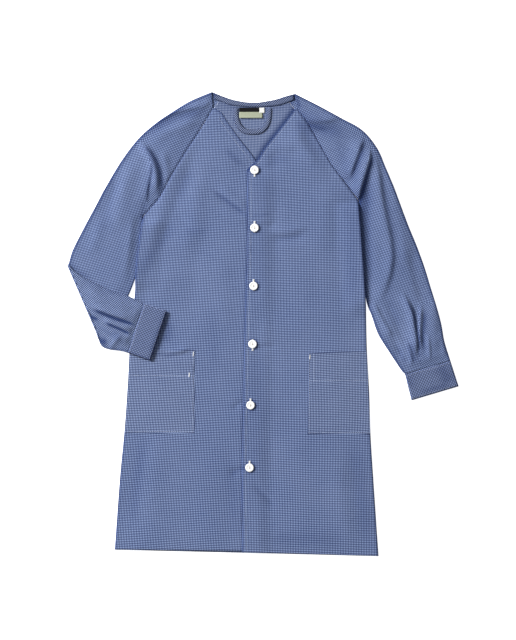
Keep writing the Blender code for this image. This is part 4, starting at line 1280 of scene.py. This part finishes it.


# A patch pocket's edge in the side seam, its free edge, its hem's stitches, its mouth, the free edge's
# painted shade, its grain and the front that it lies on
Pocket = namedtuple("Pocket", ("side_top", "side_bottom", "free", "free_top", "free_bottom", "stitch",
                               "mouth", "edge_shade", "grain", "front"))
POCKETS = {
    "pocket_right": Pocket((-226.2, -45.0), (-235.3, -185.3), -115.9, (-115.9, -45.0), (-115.9, -185.3),
                           -88.4, -45.0, 0.2, (-2.1, -1.5, 81), "right_front_panel"),
    "pocket_left": Pocket((176.1, -46.0), (182.1, -187.0), 77.2, (78.6, -50.1), (75.6, -187.0),
                          -96.5, -48.0, 0.6, (-0.7, 2.3, 81), "left_front_panel"),
}
POCKET_LEVEL = 0.38
POCKET_PRESS = 0.12
POCKET_DITCH = 0.2
POCKET_MOUTH = 0.6
# Painted shade along the bottom edge, and the width of the painted lines at both edges
POCKET_BOTTOM_SHADE = 0.3
POCKET_LINE_WIDTH = 1.6
POCKET_SECOND_ROW = 7.0


def make_pocket(node, cloth, front_top):
    pocket = POCKETS[node]
    side = [pocket.side_bottom, pocket.side_top]
    free = [pocket.free_bottom, pocket.free_top]
    top = pocket_top(front_top, pocket)
    points = ruled_grid([(side, free) if pocket.free < 0 else (free, side)], top)
    # Painted shade along the free edge and the bottom edge, and in the body's folds
    lines = [(free[::-1], pocket.edge_shade, POCKET_LINE_WIDTH),
             ([pocket.free_bottom, pocket.side_bottom], POCKET_BOTTOM_SHADE, POCKET_LINE_WIDTH)]
    shade = panel_shade(points, lines, BODY_SHADES)
    uv = body_uv(points, *pocket.grain)
    made, cut = sheet_object(f"{node}_patch", points, uv, cloth, FOLDED_CLOTH, shade=shade, crisp=True)
    declare(made, cut, node)
    return top


# The bias strips: their grain's turn in degrees and the painted shade at their edges
BIAS_TURN = 45.0
STRIP_EDGE_SHADE = 0.9
FACING_LEVEL = 1.15
FACING_ROLL = 0.5


def facing_top(x, y):
    return BACK_TOP + FACING_LEVEL + rumple(x, y, 22.0, 0.06, 17)


def make_facing(bias):
    """The bias strip inside the back neck, rolled over at its lower edge."""
    lower = curve_through(FACING_LOW_EDGE, 60)
    upper = curve_through(FACING_TOP_EDGE, 60)
    share = np.linspace(0.0, 1.0, 7)[:, None, None]
    plan = lower[None] * (1.0 - share) + upper[None] * share
    z = facing_top(plan[..., 0], plan[..., 1]) - FACING_ROLL * bell(share[..., 0], 0.12)
    points = np.concatenate([plan, z[..., None]], axis=-1)
    ends = np.abs(np.linspace(-1.0, 1.0, 61))[None, :]
    near = np.minimum(share[..., 0], 1.0 - share[..., 0])
    # Painted shade along both edges and at both ends of the strip
    shade = STRIP_EDGE_SHADE * (bell(near, 0.16) + ends ** 24)
    uv = plan_uv(points, BIAS_TURN, (0.2, 0.3), 91)
    made, cut = sheet_object("back_neck_facing", points, uv, bias, FOLDED_CLOTH, shade=shade)
    declare(made, cut, "neck_facing")


LOOP_CENTRE_X = -17.85
LOOP_REACH_X = 28.65
LOOP_TOP_Y = 367.0
LOOP_REACH_Y = 41.0
LOOP_WIDTH = 9.0
LOOP_ROUNDNESS = 2.6
LOOP_LEVEL = 0.45
LOOP_BULGE = 1.3
LOOP_RISE = 0.35


def make_loop(bias):
    """The hanging loop: a folded bias strip bent into a U."""
    angles = np.linspace(0.0, math.pi, 73)
    power = 2.0 / LOOP_ROUNDNESS
    cos = np.sign(np.cos(angles)) * np.abs(np.cos(angles)) ** power
    sin = np.abs(np.sin(angles)) ** power
    sides = np.linspace(-0.5, 0.5, 9)
    rows = []
    for side in sides:
        x = LOOP_CENTRE_X - cos * (LOOP_REACH_X + side * LOOP_WIDTH)
        y = LOOP_TOP_Y - sin * (LOOP_REACH_Y + side * LOOP_WIDTH)
        bulge = math.sqrt(max(0.0, 1.0 - (2.0 * side) ** 2))
        z = BACK_TOP + LOOP_LEVEL + LOOP_BULGE * bulge + LOOP_RISE * sin
        rows.append(np.column_stack([x, y, z]))
    points = np.array(rows)
    # Painted shade along both edges of the strip
    shade = STRIP_EDGE_SHADE * np.abs(2.0 * sides)[:, None] ** 3 * np.ones((1, len(angles)))
    uv = plan_uv(points, BIAS_TURN, (0.0, 0.8), 92)
    made, cut = sheet_object("hanging_loop_strip", points, uv, bias, LOOP_CLOTH, shade=shade)
    declare(made, cut, "hanging_loop")


# Woven labels: two corners and how far the free end lifts, in millimetres
LABELS = {
    "label_main": ((-40.5, 367.4), (-6.4, 360.4), 0.0),
    "label_size": ((-6.2, 367.4), (2.2, 358.6), 0.1),
    "label_care": ((-40.3, 360.2), (-0.8, 350.0), 1.1),
}
# Their slot, their colour, the colour between the ribs and the ribs' pitch in metres
LABEL_LOOKS = {
    "label_main": ("label_black", (0.004, 0.004, 0.005), (0.012, 0.012, 0.014), 0.0005),
    "label_size": ("label_white", (0.80, 0.80, 0.77), (0.62, 0.62, 0.60), 0.0005),
    "label_care": ("label_cream", (0.38, 0.41, 0.30), (0.27, 0.29, 0.22), 0.0006),
}
LABEL_LEVEL = 1.05
LABEL_WAVE = 0.18
LABEL_WAVE_REACH = 9.0


def make_label(node, material):
    """A woven label, its free end lifted by its curl."""
    (left, top), (right, bottom), curl = LABELS[node]
    x, t = np.meshgrid(np.linspace(left, right, 25), np.linspace(0.0, 1.0, 9))
    y = bottom + (top - bottom) * t
    wave = LABEL_WAVE * np.sin((x - left) / LABEL_WAVE_REACH)
    z = BACK_TOP + LABEL_LEVEL + curl * (1.0 - t) ** 2 + wave * (1.0 - t)
    points = np.stack([x, y, z], axis=-1)
    made, cut = sheet_object(f"{node}_woven", points, points[..., :2] * MM, material, LABEL_CLOTH)
    declare(made, cut, node)


# Buttons and stitches

BUTTONS = [(-14.4, 261.3), (-14.4, 163.2), (-16.1, 64.6), (-17.8, -34.0), (-21.2, -137.7), (-22.9, -243.6)]
BUTTON_PROFILE = [(0.0, 1.95), (3.6, 1.95), (4.5, 2.05), (5.1, 2.3), (5.7, 2.42), (6.5, 2.35), (7.05, 2.0),
                  (7.2, 1.5), (7.05, 0.9), (6.2, 0.3), (0.0, 0.2)]
HOLE_RADIUS = 0.7
HOLE_SPREAD = 1.6
HOLE_DEPTH = 12.0
# One strand of its thread: along the button and up from its seat
THREAD_ARCH = [(-1.7, 1.6), (-1.0, 2.2), (0.0, 2.35), (1.0, 2.2), (1.7, 1.6)]
BUTTON_SIDES = 48


def lathed(name):
    """A button's turned disc as a mesh, flat at both ends."""
    bm = bmesh.new()
    rings = []
    for radius, height in BUTTON_PROFILE:
        ring = []
        for side in range(BUTTON_SIDES if radius else 1):
            angle = 2.0 * math.pi * side / BUTTON_SIDES
            place = (radius * math.cos(angle) * MM, radius * math.sin(angle) * MM, height * MM)
            ring.append(bm.verts.new(place))
        rings.append(ring)
    for upper, lower in zip(rings, rings[1:]):
        for side in range(BUTTON_SIDES):
            after = (side + 1) % BUTTON_SIDES
            corners = [upper[side % len(upper)], lower[side % len(lower)], lower[after % len(lower)],
                       upper[after % len(upper)]]
            bm.faces.new(list(dict.fromkeys(corners)))
    bmesh.ops.recalc_face_normals(bm, faces=bm.faces)
    mesh = bpy.data.meshes.new(name)
    bm.to_mesh(mesh)
    bm.free()
    return mesh


def evaluated_mesh(made):
    return bpy.data.meshes.new_from_object(made.evaluated_get(bpy.context.evaluated_depsgraph_get()))


def make_button(number, x, y, resin):
    """A turned button with two sewing holes, laid on the left front."""
    name = f"button_{number}_disc"
    disc = link_object(name, lathed(name))
    holes = button_holes()
    cut = disc.modifiers.new("holes", "BOOLEAN")
    cut.operation = "DIFFERENCE"
    cut.object = holes
    applied = evaluated_mesh(disc)
    disc.modifiers.clear()
    disc.data = applied
    bpy.data.objects.remove(holes, do_unlink=True)
    applied.name = name
    applied.materials.clear()
    applied.materials.append(resin)
    applied.shade_smooth()
    applied.set_sharp_from_angle(angle=math.radians(50.0))
    level = float(left_front_top(np.array([x]), np.array([y]))[0]) + 0.1
    for vertex in applied.vertices:
        vertex.co.x += x * MM
        vertex.co.y += y * MM
        vertex.co.z += level * MM
    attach(disc, "root")
    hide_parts(f"button_{number}")
    return level


def button_holes():
    """Two upright cylinders to cut from a button."""
    bm = bmesh.new()
    for side in (-1.0, 1.0):
        made = bmesh.ops.create_cone(bm, cap_ends=True, segments=16, depth=HOLE_DEPTH * MM,
                                     radius1=HOLE_RADIUS * MM, radius2=HOLE_RADIUS * MM)
        bmesh.ops.translate(bm, verts=made["verts"], vec=(0.0, side * HOLE_SPREAD * MM, 0.0))
    mesh = bpy.data.meshes.new("holes")
    bm.to_mesh(mesh)
    bm.free()
    return link_object("holes", mesh)


# The stitches' Geometry Nodes, their inputs and their links
STITCH_INPUTS = {"Geometry": "Geometry", "Spacing": "Float", "Length": "Float", "Radius": "Float",
                 "Thread": "Material"}
STITCH_NODES = {
    "start": "NodeGroupInput",
    "curve": "GeometryNodeMeshToCurve",
    "resample": "GeometryNodeResampleCurve",
    "bead": "GeometryNodeMeshUVSphere",
    "size": "ShaderNodeCombineXYZ",
    "scale": "GeometryNodeTransform",
    "tangent": "GeometryNodeInputTangent",
    "align": "FunctionNodeAlignRotationToVector",
    "place": "GeometryNodeInstanceOnPoints",
    "realize": "GeometryNodeRealizeInstances",
    "paint": "GeometryNodeSetMaterial",
    "end": "NodeGroupOutput",
}
STITCH_LINKS = (
    ("start", "Geometry", "curve", "Mesh"),
    ("curve", "Curve", "resample", "Curve"),
    ("start", "Spacing", "resample", "Length"),
    ("start", "Length", "size", "X"),
    ("start", "Radius", "size", "Y"),
    ("start", "Radius", "size", "Z"),
    ("bead", "Mesh", "scale", "Geometry"),
    ("size", "Vector", "scale", "Scale"),
    ("resample", "Curve", "place", "Points"),
    ("scale", "Geometry", "place", "Instance"),
    ("tangent", "Tangent", "align", "Vector"),
    ("align", "Rotation", "place", "Rotation"),
    ("place", "Instances", "realize", "Geometry"),
    ("realize", "Geometry", "paint", "Geometry"),
    ("start", "Thread", "paint", "Material"),
    ("paint", "Geometry", "end", "Geometry"),
)


def stitch_tree():
    """Geometry nodes that lay rounded stitches along a path, end to end with a gap between them."""
    tree = bpy.data.node_groups.new("stitches", "GeometryNodeTree")
    for name, kind in STITCH_INPUTS.items():
        tree.interface.new_socket(name, in_out="INPUT", socket_type=f"NodeSocket{kind}")
    tree.interface.new_socket("Geometry", in_out="OUTPUT", socket_type="NodeSocketGeometry")
    nodes = {name: tree.nodes.new(kind) for name, kind in STITCH_NODES.items()}
    nodes["resample"].mode = "LENGTH"
    nodes["align"].axis = "X"
    for key, value in (("Segments", 6), ("Rings", 5), ("Radius", 1.0)):
        nodes["bead"].inputs[key].default_value = value
    for source, output, target, socket in STITCH_LINKS:
        tree.links.new(nodes[source].outputs[output], nodes[target].inputs[socket])
    return tree


def stitched(name, paths, tree, material, stitch):
    """Stitches along several paths of points in millimetres, as one plain mesh."""
    length, gap, radius = stitch
    vertices = []
    edges = []
    for path in paths:
        first = len(vertices)
        vertices.extend((np.asarray(path) * MM).tolist())
        edges.extend((first + i, first + i + 1) for i in range(len(path) - 1))
    mesh = bpy.data.meshes.new(f"{name}_path")
    mesh.from_pydata(vertices, edges, [])
    guide = link_object(f"{name}_path", mesh)
    layer = guide.modifiers.new("stitches", "NODES")
    layer.node_group = tree
    values = {"Spacing": (length + gap) * MM, "Length": 0.5 * length * MM, "Radius": radius * MM,
              "Thread": material}
    for item in tree.interface.items_tree:
        if item.in_out == "INPUT" and item.name in values:
            layer[item.identifier] = values[item.name]
    bpy.context.view_layer.update()
    made_mesh = evaluated_mesh(guide)
    made_mesh.name = name
    made = link_object(name, made_mesh)
    bpy.data.objects.remove(guide, do_unlink=True)
    made_mesh.shade_smooth()
    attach(made, "root")


def on_surface(path, top, lift=0.12, step=2.0):
    """A plan path laid on a height field."""
    count = max(2, round(curve_length(path) / step))
    plan = curve_through(path, count)
    z = top(plan[:, 0], plan[:, 1]) + lift
    return np.column_stack([plan, z])


def beside(path, offset):
    """A path moved sideways, to its left for a positive offset."""
    plan = curve_through(path, 40)
    along = np.gradient(plan, axis=0)
    along = along / np.linalg.norm(along, axis=1)[:, None]
    return plan + np.column_stack([-along[:, 1], along[:, 0]]) * offset


def make_cuff_stitching(tree, pale):
    """Two rows round each cuff, by its seam and by its outer edge."""
    for name, corners, level in (("left", CUFF_LEFT, FRONT_TOP + 0.85),
                                 ("right", CUFF_RIGHT, 2.0 * FOLD_AXIS + FOREARM_RISE + 0.95)):
        rows = []
        for share in CUFF_STITCH_ROWS:
            seam, fold = cuff_row(corners, share)
            run = np.linspace(0.04, 0.96, 30)[:, None]
            plan = seam * (1.0 - run) + fold * run
            rows.append(np.column_stack([plan, np.full(len(plan), level)]))
        stitched(f"{name}_cuff_stitching", rows, tree, pale, CUFF_STITCH)


def make_pocket_stitching(node, pocket, top, tree, pale, white):
    """Rows along a pocket's free edge, bottom and hem, and the bartacks at its mouth."""
    inward = -1.0 if pocket.free < 0 else 1.0
    free_x = pocket.free + inward * 2.2
    low_y = pocket.free_bottom[1] + 2.4
    high_y = pocket.free_top[1] - 1.5
    side_x = pocket.side_bottom[0] - inward * 2.0
    middle_x = 0.5 * (free_x + side_x)
    rows = [[(free_x, high_y), (free_x - 0.8, 0.5 * (high_y + low_y)), (free_x - 1.2, low_y)],
            [(free_x - 1.2, low_y), (middle_x, low_y + 0.4), (side_x, low_y)],
            [(free_x, pocket.stitch), (middle_x, pocket.stitch + 0.6), (side_x, pocket.stitch + 1.2)]]
    tacks = [(free_x + inward * 0.2, high_y - 4.5)]
    second_x = free_x + inward * POCKET_SECOND_ROW
    if node == "pocket_left":
        rows.append([(second_x, high_y), (second_x, pocket.stitch)])
    else:
        tacks.append((second_x + inward * 0.2, pocket.stitch + 2.0))
    paths = [on_surface(row, top, POCKET_STITCH_LIFT) for row in rows]
    stitched(f"{node}_stitching", paths, tree, pale, POCKET_STITCH)
    bars = [on_surface([(x - 0.3, y - 3.2), (x, y), (x + 0.2, y + 3.2)], top, 0.25, 1.0) for x, y in tacks]
    stitched(f"{node}_bartack", bars, tree, white, BARTACK_STITCH)


def make_stitching(tree, pocket_tops, white):
    """The raglan seams, the cuffs, the placket, both V edges and the pockets."""
    pale = thread("pale_thread", (0.44, 0.50, 0.66))
    navy = thread("navy_thread", (0.020, 0.030, 0.075))
    seams = [on_surface(RIGHT_FRONT_RAGLAN[:-1], right_front_top, RAGLAN_STITCH_LIFT),
             on_surface(LEFT_FRONT_RAGLAN[:-1], left_front_top, RAGLAN_STITCH_LIFT)]
    stitched("raglan_stitching", seams, tree, navy, RAGLAN_STITCH)
    make_cuff_stitching(tree, pale)
    left_v = beside(LEFT_V, -LEFT_V_INSET)[1:-2]
    placket = beside(PLACKET_EDGE, -PLACKET_INSET)
    rows = [on_surface(placket, left_front_top), on_surface(left_v, left_front_top, V_STITCH_LIFT)]
    stitched("left_front_stitching", rows, tree, pale, EDGE_STITCH)
    right_v = beside(RIGHT_V, RIGHT_V_INSET)[6:-5]
    rows = [on_surface(right_v, right_front_top, V_STITCH_LIFT)]
    stitched("right_front_stitching", rows, tree, pale, EDGE_STITCH)
    for node, pocket in POCKETS.items():
        make_pocket_stitching(node, pocket, pocket_tops[node], tree, pale, white)


# Which end of each buttonhole shows well past its button: 1 for the upper one, -1 for the lower one
BUTTONHOLE_ENDS = (-1.0, 1.0, 1.0, -1.0, 1.0, 1.0)
BUTTONHOLE_REACH = 10.6
BUTTONHOLE_HIDDEN = 7.4
BUTTONHOLE_HALF = 0.7
BUTTONHOLE_TIP = 1.2


def make_buttonholes(tree, white):
    """Upright worked buttonholes on the left front, their ends showing past the buttons."""
    rims = []
    for (x, y), end in zip(BUTTONS, BUTTONHOLE_ENDS):
        far = y + end * BUTTONHOLE_REACH
        near = y - end * BUTTONHOLE_HIDDEN
        for side in (x - BUTTONHOLE_HALF, x + BUTTONHOLE_HALF):
            rims.append(on_surface([(side, near), (side, y), (side, far)], left_front_top, 0.4, 1.0))
        tip = [(x - BUTTONHOLE_TIP, far), (x, far + 0.2 * end), (x + BUTTONHOLE_TIP, far)]
        rims.append(on_surface(tip, left_front_top, 0.5, 0.8))
    stitched("buttonholes", rims, tree, white, BUTTONHOLE_STITCH)


def make_button_threads(levels, tree):
    """Two strands over each button, from hole to hole."""
    beige = thread("button_thread", (0.66, 0.60, 0.54))
    arches = []
    for (x, y), level in zip(BUTTONS, levels):
        for side in (-0.35, 0.35):
            arches.append([(x + side, y + along, level + up) for along, up in THREAD_ARCH])
    stitched("button_threads", arches, tree, beige, BUTTON_STITCH)


# In metres
FLOOR_HALF = 4.0
FLOOR_DROP = 0.0002
KEY_PLACE = (-5.5, 2.9, 3.5)
KEY_SIZE = 2.6
KEY_POWER = 990.0
ROOM_LIGHT = 0.36

# In millimetres
CAMERA_TARGET = (-8.5, 6.8)
FRAME_HEIGHT = 1088.0
LENS = 100.0
SENSOR = 36.0


def make_stage():
    mesh = bpy.data.meshes.new("floor")
    half = FLOOR_HALF
    mesh.from_pydata([(-half, -half, 0.0), (half, -half, 0.0), (half, half, 0.0), (-half, half, 0.0)], [],
                     [(0, 1, 2, 3)])
    mesh.materials.append(floor_paint())
    floor = link_object("floor", mesh)
    floor.location.z = -FLOOR_DROP


def make_light():
    """A white room and one softbox at the upper left, aimed at the smock."""
    world = bpy.data.worlds.new("studio")
    bpy.context.scene.world = world
    world.use_nodes = True
    background = world.node_tree.nodes["Background"]
    background.inputs["Color"].default_value = (1.0, 1.0, 1.0, 1.0)
    background.inputs["Strength"].default_value = ROOM_LIGHT
    lamp = bpy.data.lights.new("key", "AREA")
    lamp.shape = "RECTANGLE"
    lamp.size = KEY_SIZE
    lamp.size_y = KEY_SIZE
    lamp.energy = KEY_POWER
    made = link_object("key", lamp)
    made.location = KEY_PLACE
    x, y, z = KEY_PLACE
    made.rotation_euler = (math.atan2(math.hypot(x, y), z), 0.0, math.atan2(-y, -x) - math.pi / 2.0)


def make_camera():
    camera = bpy.data.cameras.new("camera")
    camera.lens = LENS
    camera.sensor_width = SENSOR
    camera.sensor_fit = "AUTO"
    camera.clip_end = 20.0
    made = link_object("camera", camera)
    made.location = (CAMERA_TARGET[0] * MM, CAMERA_TARGET[1] * MM, FRAME_HEIGHT * MM * LENS / SENSOR)
    bpy.context.scene.camera = made


def main():
    bpy.context.scene.view_settings.view_transform = "Standard"
    cloths = {name: gingham(f"gingham_{name}", *look) for name, look in GINGHAMS.items()}
    make_back(cloths["inside"])
    make_right_front(cloths["cloth"])
    make_left_front(cloths["cloth"])
    make_left_sleeve(cloths["cloth"])
    make_right_sleeve(cloths["cloth"], cloths["turned"])
    make_cuff("left_cuff", "cuff_left", CUFF_LEFT, cloths["cuff"], False, LEFT_CUFF_TURN, 101)
    make_cuff("right_cuff", "cuff_right", CUFF_RIGHT, cloths["cuff"], True, RIGHT_CUFF_TURN, 102)
    pocket_tops = {"pocket_right": make_pocket("pocket_right", cloths["pocket"], right_front_top),
                   "pocket_left": make_pocket("pocket_left", cloths["pocket"], left_front_top)}
    make_facing(cloths["bias"])
    make_loop(cloths["bias"])
    for node, (slot, *look) in LABEL_LOOKS.items():
        make_label(node, woven_label(slot, *look))
    resin = button_resin()
    levels = [make_button(number, x, y, resin) for number, (x, y) in enumerate(BUTTONS, start=1)]
    tree = stitch_tree()
    white = thread("white_thread", (0.95, 0.96, 0.97))
    make_stitching(tree, pocket_tops, white)
    make_buttonholes(tree, white)
    make_button_threads(levels, tree)
    make_stage()
    make_light()
    make_camera()


main()
